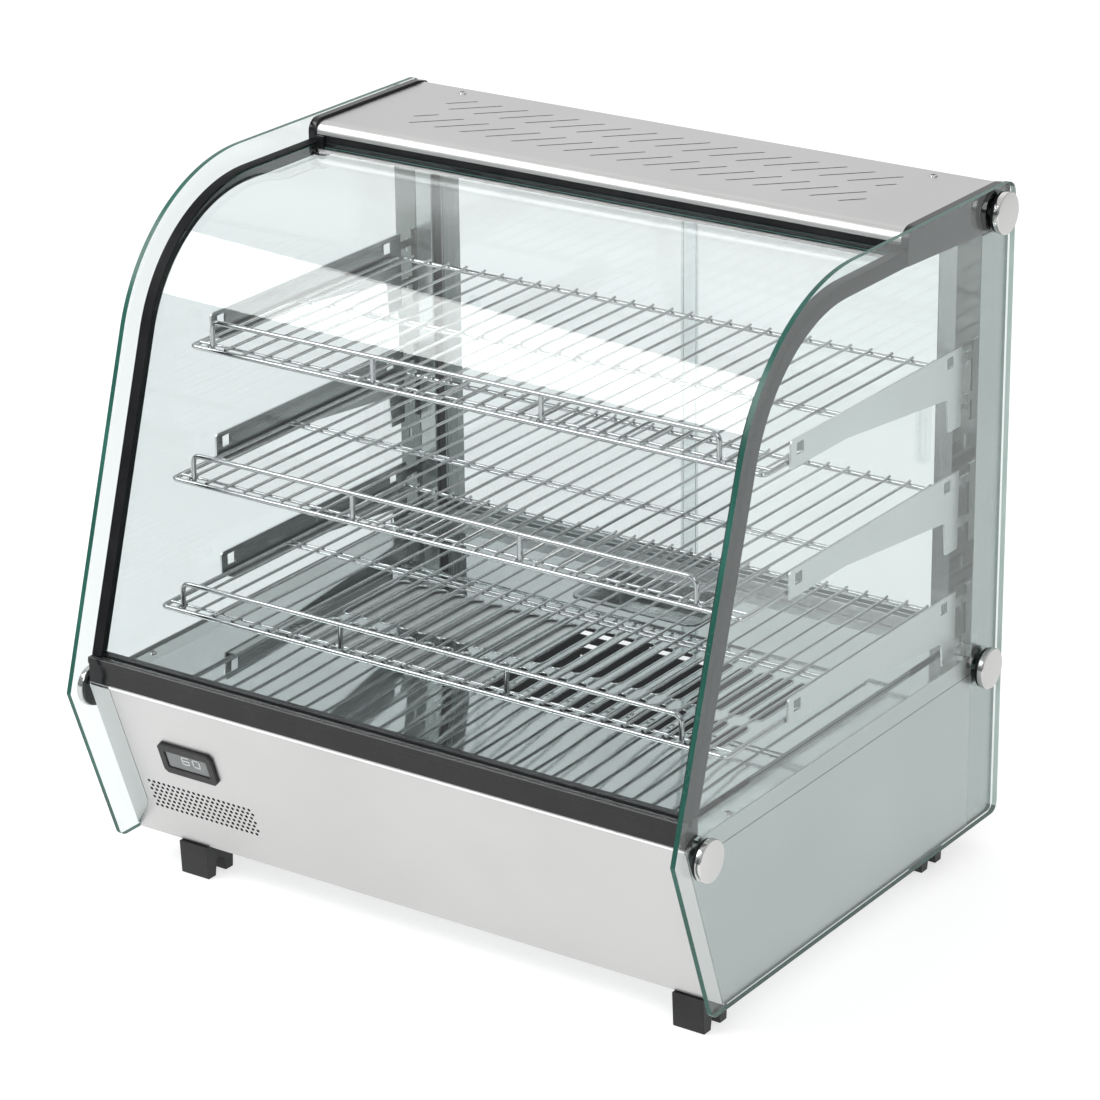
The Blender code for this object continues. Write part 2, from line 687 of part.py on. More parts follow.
def make_arm(level, top, name, side):
    windows = [
        [(y - 0.006, top - 0.0155), (y + 0.006, top - 0.0155), (y + 0.006, top - 0.0045), (y - 0.006, top - 0.0045)]
        for y in (-0.060, 0.203)
    ]
    web = extruded(arm_outline(top), "X", *span(side, *HOOK_X), windows)
    arm = node(f"shelf_arm_{level}_{name}", web, STEEL)
    x_low, x_high = span(side, 0.3095, HOOK_X[0] + 0.001)
    ledge = top - SHELF_DROP - FRAME_WIRE / 2 - GAP
    add(arm, block((x_low, ARM_FRONT + 0.004, ledge - SHEET), (x_high, 0.200, ledge)))


def make_shelf(level, top, front):
    """One welded grid: frame, front-to-back wires and a guard rail along the front."""
    middle = top - SHELF_DROP
    low, high = middle - FRAME_WIRE / 2, middle + FRAME_WIRE / 2
    count = 28
    holes = []
    near, far = front + 0.0095, SHELF_BACK - FRAME_WIRE
    edge = SHELF_X - FRAME_WIRE
    for i in range(count + 1):
        first = max(-edge, (i - count / 2 - 0.5) * GRID_PITCH + GRID_WIRE / 2)
        last = min(edge, (i - count / 2 + 0.5) * GRID_PITCH - GRID_WIRE / 2)
        holes.append(rectangle(first, last, near, far))
    outline = rectangle(-SHELF_X, SHELF_X, front, SHELF_BACK)
    shelf = node(f"wire_shelf_{level}", extruded(outline, "Z", low, high, holes), WIRE)
    left, right = RAIL_X
    wire = FRAME_WIRE
    ends = 0.008
    rail_top = middle + RAIL_HEIGHT + wire / 2
    outer = [(left, low + 0.001), (right, low + 0.001), (right, rail_top - ends),
             (right - ends, rail_top), (left + ends, rail_top), (left, rail_top - ends)]
    bays = 3
    pitch = (right - left - wire) / bays
    gaps = []
    for i in range(bays):
        first = left + wire + pitch * i
        gaps.append(rectangle(first, first + pitch - wire, high - 0.001, rail_top - wire))
    add(shelf, extruded(outer, "Y", front + 0.004, front + 0.004 + wire, gaps))


# Head
def make_top_panel():
    """Folded sheet over the head, with two bands of slanted vent slots."""
    front, back = HEAD_PANEL_Y
    top, bend = HEAD_PANEL_Z, 0.008
    outline = [(back, 0.6330)] + fold(front, back, top, bend, 0.003) + [(front, 0.6550)]
    outline += [(front + SHEET, 0.6550)]
    outline += fold(front + SHEET, back - SHEET, top - SHEET, bend - SHEET, 0.0018)[::-1]
    outline += [(back - SHEET, 0.6330)]
    panel = node("top_panel", extruded(outline, "X", -HEAD_PANEL_X, HEAD_PANEL_X), STEEL)
    cutters = []
    for start, near in ((-0.2484, 0.1495), (-0.2436, 0.2080)):
        for k in range(-2, 18):
            first = start + VENT_PITCH * k
            low = max(0.0, -0.258 - first)
            high = min(VENT_RUN, 0.250 - first)
            if high - low < 0.006:
                continue
            ends = [(first + low, near + low), (first + high, near + high)]
            half = VENT_WIDTH / 2 * math.sqrt(2)
            slit = [(ends[0][0] - half, ends[0][1]), (ends[0][0] + half, ends[0][1]),
                    (ends[1][0] + half, ends[1][1]), (ends[1][0] - half, ends[1][1])]
            cutters.append(extruded(slit, "Z", top - 0.003, top + 0.002))
    cut(panel, merged(cutters))


def fold(front, back, top, bend, back_bend):
    """(y, z) points over the head from its back fold to its front fold."""
    points = []
    for centre, radius, start in (
        ((back - back_bend, top - back_bend), back_bend, 0.0),
        ((front + bend, top - bend), bend, math.pi / 2),
    ):
        for k in range(7):
            turn = start + math.pi / 2 * k / 6
            points.append((centre[0] + radius * math.cos(turn), centre[1] + radius * math.sin(turn)))
    return points


def make_head_trim(name, side):
    outline = rounded([
        (0.1000, 0.6500, 0.001), (0.1170, 0.6340, 0.002), (0.2540, 0.6280, 0.001),
        (0.2855, 0.6280, 0.002), (0.2855, 0.6660, 0.005), (0.2700, 0.6695, 0.020),
        (0.1000, 0.6695, 0.0135),
    ], 4)
    low, high = span(side, HEAD_PANEL_X + GAP, BODY_X)
    trim = node(f"head_trim_{name}", extruded(outline, "X", low, high), BLACK)
    cut(trim, bore(*span(side, BODY_X - 0.011, BODY_X + 0.002), *STANDOFFS["top"], 0.009))


def make_ceiling():
    """Sheet under the head; a comb of three legs at its back is the doors' top track."""
    plate = block((-HEAD_PANEL_X, 0.1090, CEILING_Z), (HEAD_PANEL_X, 0.2784, CEILING_Z + SHEET))
    ceiling = node("ceiling_panel", plate, STEEL)
    add(ceiling, extruded(track_outline(CEILING_Z + 0.0006, -1, 0.0425), "X", -BETWEEN_POSTS_X + GAP, BETWEEN_POSTS_X - GAP))
    cut(ceiling, block((-0.345, 0.100, 0.60), (-0.3145, 0.24, 0.68)))


def track_outline(level, rise, legs):
    """(y, z) comb with two channels, its web at a level and its legs up (1) or down (-1)."""
    first, pitch, thick = 0.2523, 0.0100, 0.0012
    end = first + 2 * pitch + thick
    web = level + rise * thick
    tip = level + rise * legs
    outline = [(first, level), (end, level)]
    for i in (2, 1, 0):
        left = first + pitch * i
        outline += [(left + thick, tip), (left, tip)]
        if i:
            outline += [(left, web), (left - pitch + thick, web)]
    return outline


def make_door_track():
    low = DECK_TOP + GAP
    outline = track_outline(low, 1, 0.012)
    node("door_track_bottom", extruded(outline, "X", -BETWEEN_POSTS_X + GAP, BETWEEN_POSTS_X - GAP), BLACK)


def make_doors():
    """Two panes in the track's channels, each with a finger pull near its own post."""
    outer_edge, overlap = 0.2880, 0.0120
    low, high = 0.2172, 0.6285
    for name, side, near in (("left", -1, 0.2554), ("right", 1, 0.2654)):
        far = near + DOOR_PANE - 0.0008
        left, right = sorted((side * outer_edge, -side * overlap))
        node(f"rear_door_{name}", block((left, near, low), (right, far, high)), CLEAR, (0, near, low))
        thick = 0.0024 if side < 0 else 0.0080
        x_low, x_high = span(side, 0.2480, 0.2620)
        pull = rounded_rectangle(x_low, x_high, 0.380, 0.460, 0.005, 4)
        pull_node = extruded(pull, "Y", far + GAP, far + GAP + thick)
        node(f"door_pull_{name}", pull_node, CLEAR, (0, near, low))


def make_lamp():
    outline = rounded([
        (0.2000, 0.6535, 0.001), (0.2000, 0.6455, 0.004), (0.2220, 0.6455, 0.004), (0.2220, 0.6535, 0.001),
    ], 4)
    node("lamp", extruded(outline, "X", -0.270, 0.270), LAMP, smooth=40)


# The whole case
make_base_shell()
make_front_panel()
make_display_bezel()
make_rear_panel()
make_deck()
make_water_tray()
make_heater()
make_heat_shield()
make_fan()
make_thermostat()
make_switches()
make_gland()
for end, near_y in (("front", -0.2020), ("rear", 0.1840)):
    make_foot(f"foot_{end}_left", -0.2820, near_y)
    make_foot(f"foot_{end}_right", 0.2810, near_y)
for side_name, sign in SIDES.items():
    make_side_glass(side_name, sign)
    make_standoffs(side_name, sign)
    make_front_seal(side_name, sign)
    make_post(side_name, sign)
    make_head_trim(side_name, sign)
make_front_glass()
make_front_rail()
make_front_top_seal()
for number, arm_top in enumerate(ARM_TOPS, 1):
    for side_name, sign in SIDES.items():
        make_arm(number, arm_top, side_name, sign)
    make_shelf(number, arm_top, SHELF_FRONTS[number - 1])
make_top_panel()
make_ceiling()
make_lamp()
make_door_track()
make_doors()
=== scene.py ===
"""Looks of the hot food display case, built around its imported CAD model.

Metres, +Z up, front towards -Y, origin at the middle of the footprint.
"""

import math

import bmesh
import bpy
from mathutils import Matrix, Vector


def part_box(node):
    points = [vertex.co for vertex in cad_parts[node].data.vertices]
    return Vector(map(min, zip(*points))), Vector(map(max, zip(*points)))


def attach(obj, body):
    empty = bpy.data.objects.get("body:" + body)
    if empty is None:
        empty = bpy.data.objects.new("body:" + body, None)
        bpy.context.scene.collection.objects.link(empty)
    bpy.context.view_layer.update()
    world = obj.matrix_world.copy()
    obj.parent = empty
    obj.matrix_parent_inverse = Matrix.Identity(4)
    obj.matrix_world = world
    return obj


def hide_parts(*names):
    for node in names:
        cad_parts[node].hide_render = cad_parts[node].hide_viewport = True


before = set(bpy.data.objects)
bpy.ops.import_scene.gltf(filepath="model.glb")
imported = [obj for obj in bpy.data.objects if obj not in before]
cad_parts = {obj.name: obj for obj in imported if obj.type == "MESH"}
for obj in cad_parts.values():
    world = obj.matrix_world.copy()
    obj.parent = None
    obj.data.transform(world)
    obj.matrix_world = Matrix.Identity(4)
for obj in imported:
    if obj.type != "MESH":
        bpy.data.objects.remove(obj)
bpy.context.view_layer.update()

BODY = "case"
SIDES = {"left": -1, "right": 1}
CAP_PLACES = ("top", "rear", "front")
AXES = {"X": Vector((1, 0, 0)), "Y": Vector((0, 1, 0)), "Z": Vector((0, 0, 1))}


def low(node):
    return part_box(node)[0]


def high(node):
    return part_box(node)[1]


# Driving dimensions, read from the frame where a CAD node holds them
GLASS = high("side_glass_right").x - low("side_glass_right").x
GLASS_X = low("side_glass_right").x
HALF_DEPTH = high("side_glass_right").y
HEIGHT = high("side_glass_right").z
GLASS_FOOT = low("side_glass_right").z
ARC_RADIUS = 0.190
ARC_CENTRE = Vector((-0.002, HEIGHT - ARC_RADIUS))
FRONT_TILT = math.radians(17.2)
FRONT_GLASS_INSET = 0.022
SIDE_CORNERS = [
    (-0.225, GLASS_FOOT, 0.010),
    (HALF_DEPTH, GLASS_FOOT, 0.010),
    (HALF_DEPTH, HEIGHT, 0.014),
    (-0.1421, HEIGHT, ARC_RADIUS),
    (-HALF_DEPTH - 0.0002, 0.205, 0.004),
]
BODY_X = high("base_shell").x
PANEL_TOP = Vector((0.0, -0.261, high("base_shell").z))
PANEL_TILT = math.radians(19.44)
PANEL_LENGTH = 0.185
SEAM_X = -0.309
DECK_TOP = high("deck").z
DECK_CURL_FROM = -0.110
DECK_CURL_RISE = 0.0022
SHEET = 0.0012
HEAD_LAP = 0.0103
ARM_INNER_X = 0.3195
ARM_OUTER_X = 0.3215
ARM_TAB_PLACES = (-0.060, 0.203)
SLOT_PITCH = 0.0405
CLOSE = 0.0001


# Mesh helpers
def at_level(axis, level, a, b):
    """The point (a, b) of an outline drawn square to an axis: (y, z), (x, z) or (x, y)."""
    if axis == "X":
        return Vector((level, a, b))
    if axis == "Y":
        return Vector((a, level, b))
    return Vector((a, b, level))


def extruded(outline, axis, start, end, holes=()):
    """A plate or bar: an outline, with any holes, carried from start to end along an axis."""
    bm = bmesh.new()
    for loop in (outline, *holes):
        corners = [bm.verts.new(at_level(axis, start, a, b)) for a, b in loop]
        for first, second in zip(corners, corners[1:] + corners[:1]):
            bm.edges.new((first, second))
    if holes:
        bmesh.ops.triangle_fill(bm, use_beauty=True, edges=bm.edges[:])
    else:
        bm.faces.new(bm.verts[:])
    grown = bmesh.ops.extrude_face_region(bm, geom=bm.faces[:])
    moved = [item for item in grown["geom"] if isinstance(item, bmesh.types.BMVert)]
    bmesh.ops.translate(bm, vec=AXES[axis] * (end - start), verts=moved)
    bmesh.ops.recalc_face_normals(bm, faces=bm.faces[:])
    return bm


def block(near, far):
    """A rectangular block between two corners."""
    return extruded(rectangle(near[0], far[0], near[1], far[1]), "Z", near[2], far[2])


def skinned(rings, closed=False):
    """A body through a row of rings of points: capped at its ends, or closed on itself."""
    bm = bmesh.new()
    rows = [[bm.verts.new(point) for point in ring] for ring in rings]
    pairs = list(zip(rows, rows[1:]))
    if closed:
        pairs.append((rows[-1], rows[0]))
    for lower, upper in pairs:
        for i in range(len(lower)):
            j = (i + 1) % len(lower)
            bm.faces.new((lower[i], lower[j], upper[j], upper[i]))
    if not closed:
        bm.faces.new(rows[0][::-1])
        bm.faces.new(rows[-1])
    bmesh.ops.recalc_face_normals(bm, faces=bm.faces[:])
    return bm


def turned(profile, axis, centre, steps=64):
    """A round piece: (radius, level) pairs spun about an axis through a centre."""
    bm = bmesh.new()
    ring = profile[0][0] > 0 and profile[-1][0] > 0
    corners = [bm.verts.new((radius, 0, level)) for radius, level in profile]
    pairs = list(zip(corners, corners[1:]))
    if ring:
        pairs.append((corners[-1], corners[0]))
    edges = [bm.edges.new(pair) for pair in pairs]
    bmesh.ops.spin(
        bm, geom=corners + edges, cent=(0, 0, 0), axis=(0, 0, 1),
        angle=2 * math.pi, steps=steps, use_merge=True,
    )
    bmesh.ops.remove_doubles(bm, verts=bm.verts[:], dist=1e-6)
    bmesh.ops.recalc_face_normals(bm, faces=bm.faces[:])
    turn = Vector((0, 0, 1)).rotation_difference(AXES[axis]).to_matrix().to_4x4()
    bm.transform(Matrix.Translation(centre) @ turn)
    return bm


def rectangle(left, right, near, far):
    return [(left, near), (right, near), (right, far), (left, far)]


def circle(centre, radius, steps=24):
    turns = [2 * math.pi * i / steps for i in range(steps)]
    return [(centre[0] + radius * math.cos(t), centre[1] + radius * math.sin(t)) for t in turns]


def rounded(corners, steps=6, density=250):
    """An outline whose (a, b, radius) corners are rounded by arcs."""
    points = []
    for i, (a, b, radius) in enumerate(corners):
        here = Vector((a, b))
        before = (Vector(corners[i - 1][:2]) - here).normalized()
        after = (Vector(corners[(i + 1) % len(corners)][:2]) - here).normalized()
        half = before.angle(after) / 2
        centre = here + (before + after).normalized() * radius / math.sin(half)
        start = here + before * radius / math.tan(half) - centre
        end = here + after * radius / math.tan(half) - centre
        turn = math.atan2(start.x * end.y - start.y * end.x, start.dot(end))
        count = max(steps, round(density * radius))
        for k in range(count + 1):
            offset = start.copy()
            offset.rotate(Matrix.Rotation(turn * k / count, 2))
            points.append(tuple(centre + offset))
    return points


def rounded_rectangle(left, right, near, far, radius, steps=6):
    return rounded([(a, b, radius) for a, b in rectangle(left, right, near, far)], steps)


def slot(centre_x, near, far, width, steps=8):
    """A front-to-back slot with round ends."""
    radius = width / 2
    points = []
    for middle, start in ((far - radius, 0.0), (near + radius, math.pi)):
        for k in range(steps + 1):
            turn = start + math.pi * k / steps
            points.append((centre_x + radius * math.cos(turn), middle + radius * math.sin(turn)))
    return points


def merged(meshes):
    """Several shapes as one mesh."""
    whole = bmesh.new()
    for bm in meshes:
        shape = bpy.data.meshes.new("shape")
        bm.to_mesh(shape)
        bm.free()
        whole.from_mesh(shape)
        bpy.data.meshes.remove(shape)
    return whole


def span(side, near, far):
    """A stretch of |x| on the left (-1) or the right (+1), as low and high x."""
    return sorted((side * near, side * far))


def settled(piece, body, stands_for, slot_name):
    """Ties a finished piece to its body and the CAD nodes it stands for; slot_name is not used."""
    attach(piece, body)
    if stands_for:
        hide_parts(*stands_for)
    return piece


def solid(name, bm, finishes, slot_name, stands_for=(), body=BODY, bevel=0.0, smooth=35, segments=2):
    """A mesh piece with smooth shading, crisp edges and, where asked, a fine bevel."""
    mesh = bpy.data.meshes.new(name)
    bm.to_mesh(mesh)
    bm.free()
    for finish in finishes if isinstance(finishes, (list, tuple)) else [finishes]:
        mesh.materials.append(finish)
    mesh.shade_smooth()
    mesh.set_sharp_from_angle(angle=math.radians(smooth))
    made = bpy.data.objects.new(name, mesh)
    bpy.context.scene.collection.objects.link(made)
    if bevel:
        soften(made, bevel, segments)
    return settled(made, body, stands_for, slot_name)


def soften(piece, width, segments=2):
    edges = piece.modifiers.new("edges", "BEVEL")
    edges.width = width
    edges.segments = segments
    edges.limit_method = "ANGLE"
    edges.angle_limit = math.radians(38)
    edges.harden_normals = True
    return edges


def wires(name, paths, diameter, finish, slot_name, stands_for=(), body=BODY, loops=()):
    """Round wires: open paths, and loops that close on themselves."""
    curve = bpy.data.curves.new(name, "CURVE")
    curve.dimensions = "3D"
    curve.bevel_depth = diameter / 2
    curve.bevel_resolution = 3
    curve.use_fill_caps = True
    for points, cyclic in [(path, False) for path in paths] + [(loop, True) for loop in loops]:
        spline = curve.splines.new("POLY")
        spline.points.add(len(points) - 1)
        for target, point in zip(spline.points, points):
            target.co = (*point, 1)
        spline.use_cyclic_u = cyclic
        spline.use_smooth = True
    curve.materials.append(finish)
    made = bpy.data.objects.new(name, curve)
    bpy.context.scene.collection.objects.link(made)
    return settled(made, body, stands_for, slot_name)


def bent(points, radius, steps=6, loop=False):
    """A path with its corners rounded."""
    points = [Vector(point) for point in points]
    count = len(points)
    path = []
    for i, here in enumerate(points):
        if not loop and i in (0, count - 1):
            path.append(here)
            continue
        before, after = points[i - 1], points[(i + 1) % count]
        reach = min(radius, (before - here).length / 2, (after - here).length / 2)
        start = here + (before - here).normalized() * reach
        end = here + (after - here).normalized() * reach
        for k in range(steps + 1):
            t = k / steps
            path.append(start * (1 - t) ** 2 + here * 2 * t * (1 - t) + end * t ** 2)
    return path


# Materials
class Finish:
    """A node-based material, built up socket by socket."""

    def __init__(self, name):
        self.made = bpy.data.materials.new(name)
        self.made.use_nodes = True
        self.tree = self.made.node_tree
        self.shader = self.tree.nodes["Principled BSDF"]
        self.output = self.tree.nodes["Material Output"]
        self.place = self.tree.nodes.new("ShaderNodeTexCoord").outputs["Object"]

    def set(self, **values):
        for name, value in values.items():
            socket = self.shader.inputs[name.replace("_", " ")]
            socket.default_value = (*value, 1) if isinstance(value, tuple) else value
        return self

    def link(self, source, target):
        self.tree.links.new(source, target)

    def noise(self, scale, stretch=(1, 1, 1), detail=3.0, rough=0.55):
        mapping = self.tree.nodes.new("ShaderNodeMapping")
        mapping.inputs["Scale"].default_value = stretch
        texture = self.tree.nodes.new("ShaderNodeTexNoise")
        texture.inputs["Scale"].default_value = scale
        texture.inputs["Detail"].default_value = detail
        texture.inputs["Roughness"].default_value = rough
        self.link(self.place, mapping.inputs["Vector"])
        self.link(mapping.outputs["Vector"], texture.inputs["Vector"])
        return texture.outputs["Fac"]

    def between(self, source, least, most, from_low=0.3, from_high=0.7):
        node = self.tree.nodes.new("ShaderNodeMapRange")
        node.inputs["From Min"].default_value = from_low
        node.inputs["From Max"].default_value = from_high
        node.inputs["To Min"].default_value = least
        node.inputs["To Max"].default_value = most
        self.link(source, node.inputs["Value"])
        return node.outputs["Result"]

    def tint(self, source, dark, light):
        """Base colour that wanders between two close shades."""
        ramp = self.tree.nodes.new("ShaderNodeValToRGB")
        ramp.color_ramp.elements[0].position = 0.3
        ramp.color_ramp.elements[1].position = 0.7
        ramp.color_ramp.elements[0].color = (*dark, 1)
        ramp.color_ramp.elements[1].color = (*light, 1)
        self.link(source, ramp.inputs["Fac"])
        self.link(ramp.outputs["Color"], self.shader.inputs["Base Color"])
        return self

    def roughness(self, source, least, most):
        self.link(self.between(source, least, most), self.shader.inputs["Roughness"])
        return self

    def bump(self, source, strength, distance):
        node = self.tree.nodes.new("ShaderNodeBump")
        node.inputs["Strength"].default_value = strength
        node.inputs["Distance"].default_value = distance
        self.link(source, node.inputs["Height"])
        self.link(node.outputs["Normal"], self.shader.inputs["Normal"])
        return self


def brushed(name, dark, light, grain, rough=(0.24, 0.36), strength=0.10):
    """Satin steel whose fine grain runs along one axis."""
    finish = Finish(name).set(Metallic=1.0)
    stretch = [420.0, 420.0, 420.0]
    stretch["XYZ".index(grain)] = 5.0
    lines = finish.noise(4.0, tuple(stretch), 4.0, 0.6)
    clouds = finish.noise(5.0, detail=2.0)
    finish.tint(clouds, dark, light)
    finish.roughness(lines, *rough)
    finish.bump(lines, strength, 0.00015)
    return finish.made


def polished(name, dark, light, rough=(0.03, 0.07), wave=0.0):
    """Mirror steel with a faint roll in the sheet."""
    finish = Finish(name).set(Metallic=1.0)
    clouds = finish.noise(9.0, detail=3.0)
    finish.tint(clouds, dark, light)
    finish.roughness(finish.noise(60.0, detail=4.0), *rough)
    if wave:
        finish.bump(finish.noise(14.0, detail=1.0), wave, 0.002)
    return finish.made


def moulded(name, dark, light, rough, bump, gleam=0.5):
    """Plastic or rubber with a fine skin."""
    finish = Finish(name).set(Specular_IOR_Level=gleam)
    finish.tint(finish.noise(30.0, detail=3.0), dark, light)
    skin = finish.noise(1800.0, detail=2.0)
    finish.roughness(finish.noise(90.0, detail=4.0), *rough)
    finish.bump(skin, bump, 0.00008)
    return finish.made


def clear_glass(name, clear, least=0.045):
    """Float glass that lets light straight through and mirrors more at a slant (Schlick's rule)."""
    finish = Finish(name).set(Metallic=1.0)
    finish.tint(finish.noise(8.0, detail=2.0), (0.93, 0.96, 0.95), (0.97, 0.99, 0.98))
    finish.roughness(finish.noise(25.0, detail=5.0), 0.004, 0.012)
    through = finish.tree.nodes.new("ShaderNodeBsdfTransparent")
    through.inputs["Color"].default_value = (*clear, 1)
    slant = finish.tree.nodes.new("ShaderNodeLayerWeight")
    slant.inputs["Blend"].default_value = 0.5
    power = finish.tree.nodes.new("ShaderNodeMath")
    power.operation = "POWER"
    power.inputs[1].default_value = 5.0
    finish.link(slant.outputs["Facing"], power.inputs[0])
    share = finish.between(power.outputs["Value"], least, 1.0, 0.0, 1.0)
    mix = finish.tree.nodes.new("ShaderNodeMixShader")
    finish.link(share, mix.inputs["Fac"])
    finish.link(through.outputs["BSDF"], mix.inputs[1])
    finish.link(finish.shader.outputs["BSDF"], mix.inputs[2])
    finish.link(mix.outputs["Shader"], finish.output.inputs["Surface"])
    return finish.made


def glass_edge(name, dark, light, rough):
    """Ground edge of green float glass."""
    finish = Finish(name).set(Specular_IOR_Level=0.3)
    finish.tint(finish.noise(12.0, detail=2.0), dark, light)
    finish.roughness(finish.noise(200.0, detail=3.0), *rough)
    return finish.made


def glowing(name, colour, strength):
    finish = Finish(name).set(Emission_Strength=strength, Emission_Color=colour)
    finish.tint(finish.noise(40.0, detail=2.0), colour, colour)
    finish.roughness(finish.noise(80.0), 0.3, 0.4)
    return finish.made


STEEL = brushed("brushed_steel", (0.53, 0.53, 0.525), (0.57, 0.57, 0.565), "X", (0.30, 0.42), 0.03)
STEEL_UP = brushed("brushed_steel_upright", (0.42, 0.45, 0.44), (0.51, 0.54, 0.53), "Z", (0.20, 0.28), 0.02)
STEEL_BACK = brushed("brushed_steel_side", (0.53, 0.55, 0.545), (0.58, 0.60, 0.595), "Y", (0.34, 0.44), 0.03)
CAP_FACE = brushed("turned_steel", (0.55, 0.55, 0.54), (0.62, 0.62, 0.61), "Z", (0.28, 0.40), 0.05)
CAP_SIDE = polished("polished_side", (0.50, 0.49, 0.48), (0.66, 0.65, 0.64), (0.10, 0.16))
MIRROR = polished("mirror_steel", (0.57, 0.60, 0.595), (0.64, 0.67, 0.665), (0.02, 0.05), 0.03)
TRAY_STEEL = polished("tray_steel", (0.36, 0.38, 0.375), (0.46, 0.48, 0.475), (0.10, 0.20))
ARM_STEEL = brushed("arm_steel", (0.66, 0.68, 0.675), (0.72, 0.74, 0.735), "Y", (0.34, 0.44), 0.03)
# Darker copy of arm_steel for the arms' faces turned towards the middle: painted shade.
ARM_INWARD_SHADE = brushed("arm_inward_painted_shade", (0.27, 0.29, 0.285), (0.34, 0.36, 0.355), "Y", (0.24, 0.34), 0.03)
# Dark steel for the posts' jambs and the arms' bent tabs: painted shade.
DARK_STEEL_SHADE = brushed("dark_steel_painted_shade", (0.17, 0.195, 0.187), (0.23, 0.255, 0.247), "Z", (0.20, 0.30), 0.03)
# Dark polished steel for the posts' slotted strips: painted dark reflection.
PAINTED_DARK_REFLECTION = polished("strip_steel_painted_reflection", (0.13, 0.15, 0.14), (0.26, 0.28, 0.27), (0.06, 0.12), 0.5)
CHROME = polished("chromed_wire", (0.50, 0.51, 0.51), (0.62, 0.63, 0.63), (0.07, 0.13))
ZINC = brushed("galvanised_sheet", (0.30, 0.31, 0.32), (0.48, 0.49, 0.50), "X", (0.35, 0.55), 0.15)
BLACK_GLOSS = moulded("black_gloss", (0.008, 0.008, 0.009), (0.014, 0.014, 0.015), (0.10, 0.16), 0.02, 0.34)
BLACK = moulded("black_moulding", (0.010, 0.010, 0.011), (0.020, 0.020, 0.021), (0.32, 0.45), 0.10, 0.32)
SHADOW = moulded("shadow_black", (0.0015, 0.0015, 0.0015), (0.003, 0.003, 0.003), (0.75, 0.90), 0.02, 0.1)
# Very light sheet: painted highlight on the front hem, painted light under the deck's slots.
PAINTED_LIGHT_SHEET = brushed("sheet_painted_light", (0.84, 0.85, 0.85), (0.90, 0.91, 0.91), "Y", (0.45, 0.60), 0.05)
RUBBER = moulded("black_seal", (0.007, 0.007, 0.008), (0.014, 0.014, 0.015), (0.42, 0.55), 0.12, 0.14)
GLASS_CLEAR = clear_glass("clear_glass", (0.912, 0.935, 0.933))
GLASS_FRONT = clear_glass("front_glass_clear", (0.930, 0.943, 0.946), 0.052)
ACRYLIC = clear_glass("clear_acrylic", (0.97, 0.975, 0.975), 0.04)
GLASS_EDGE = glass_edge("glass_edge", (0.010, 0.065, 0.048), (0.022, 0.110, 0.085), (0.20, 0.30))
POLISHED_EDGE = glass_edge("polished_glass_edge", (0.20, 0.25, 0.24), (0.34, 0.40, 0.38), (0.10, 0.2))
PALE_EDGE = glass_edge("pale_glass_edge", (0.56, 0.68, 0.64), (0.66, 0.77, 0.73), (0.15, 0.3))
GLASS_ARRIS = glass_edge("glass_arris", (0.10, 0.26, 0.22), (0.20, 0.40, 0.35), (0.40, 0.55))
HEATER = brushed("heater_sheath", (0.06, 0.055, 0.05), (0.16, 0.14, 0.12), "X", (0.4, 0.6), 0.2)
LAMP = glowing("lamp_diffuser", (1.0, 0.98, 0.94), 3.0)
WHITE_PRINT = moulded("printed_marks", (0.70, 0.70, 0.70), (0.82, 0.82, 0.82), (0.5, 0.6), 0.02)
RIM_STEEL = polished("rim_steel", (0.50, 0.53, 0.52), (0.58, 0.61, 0.60), (0.06, 0.12))
TRACK_STEEL = brushed("track_steel", (0.70, 0.72, 0.72), (0.76, 0.78, 0.78), "X", (0.35, 0.45), 0.03)
DISPLAY = moulded("display_window", (0.13, 0.14, 0.14), (0.19, 0.20, 0.20), (0.06, 0.12), 0.01)
# Pale bars over the display lens: painted reflection.
PAINTED_LENS_REFLECTION = moulded("display_painted_reflection", (0.48, 0.50, 0.50), (0.58, 0.60, 0.60), (0.3, 0.4), 0.01)


# Glass
def front_curve(inset, bottom, end, steps=48):
    """(y, z) points of the side glass's front edge moved inwards: up the straight, round the
    arc, then back along the top to y = end."""
    radius = ARC_RADIUS - inset
    normal = Vector((-math.cos(FRONT_TILT), math.sin(FRONT_TILT)))
    along = Vector((math.sin(FRONT_TILT), math.cos(FRONT_TILT)))
    tangent = ARC_CENTRE + normal * radius
    rise = (tangent.y - bottom) / along.y
    points = [tangent - along * rise]
    first = math.pi - FRONT_TILT
    for k in range(steps + 1):
        turn = first + (math.pi / 2 - first) * k / steps
        points.append(ARC_CENTRE + radius * Vector((math.cos(turn), math.sin(turn))))
    points.append(Vector((end, ARC_CENTRE.y + radius)))
    return [tuple(point) for point in points]


def pane(name, bm, is_face, clear, node, body=BODY, arris=0.0006, edge=GLASS_EDGE, rim=GLASS_ARRIS):
    """A glass sheet: clear on its two faces, with its own finish on its edges and their arrises."""
    made = solid(name, bm, [clear, edge, rim], "clear_glass", [node], body, smooth=30)
    for polygon in made.data.polygons:
        polygon.material_index = 0 if is_face(polygon) else 1
    edges = soften(made, arris)
    edges.material = 2
    return made


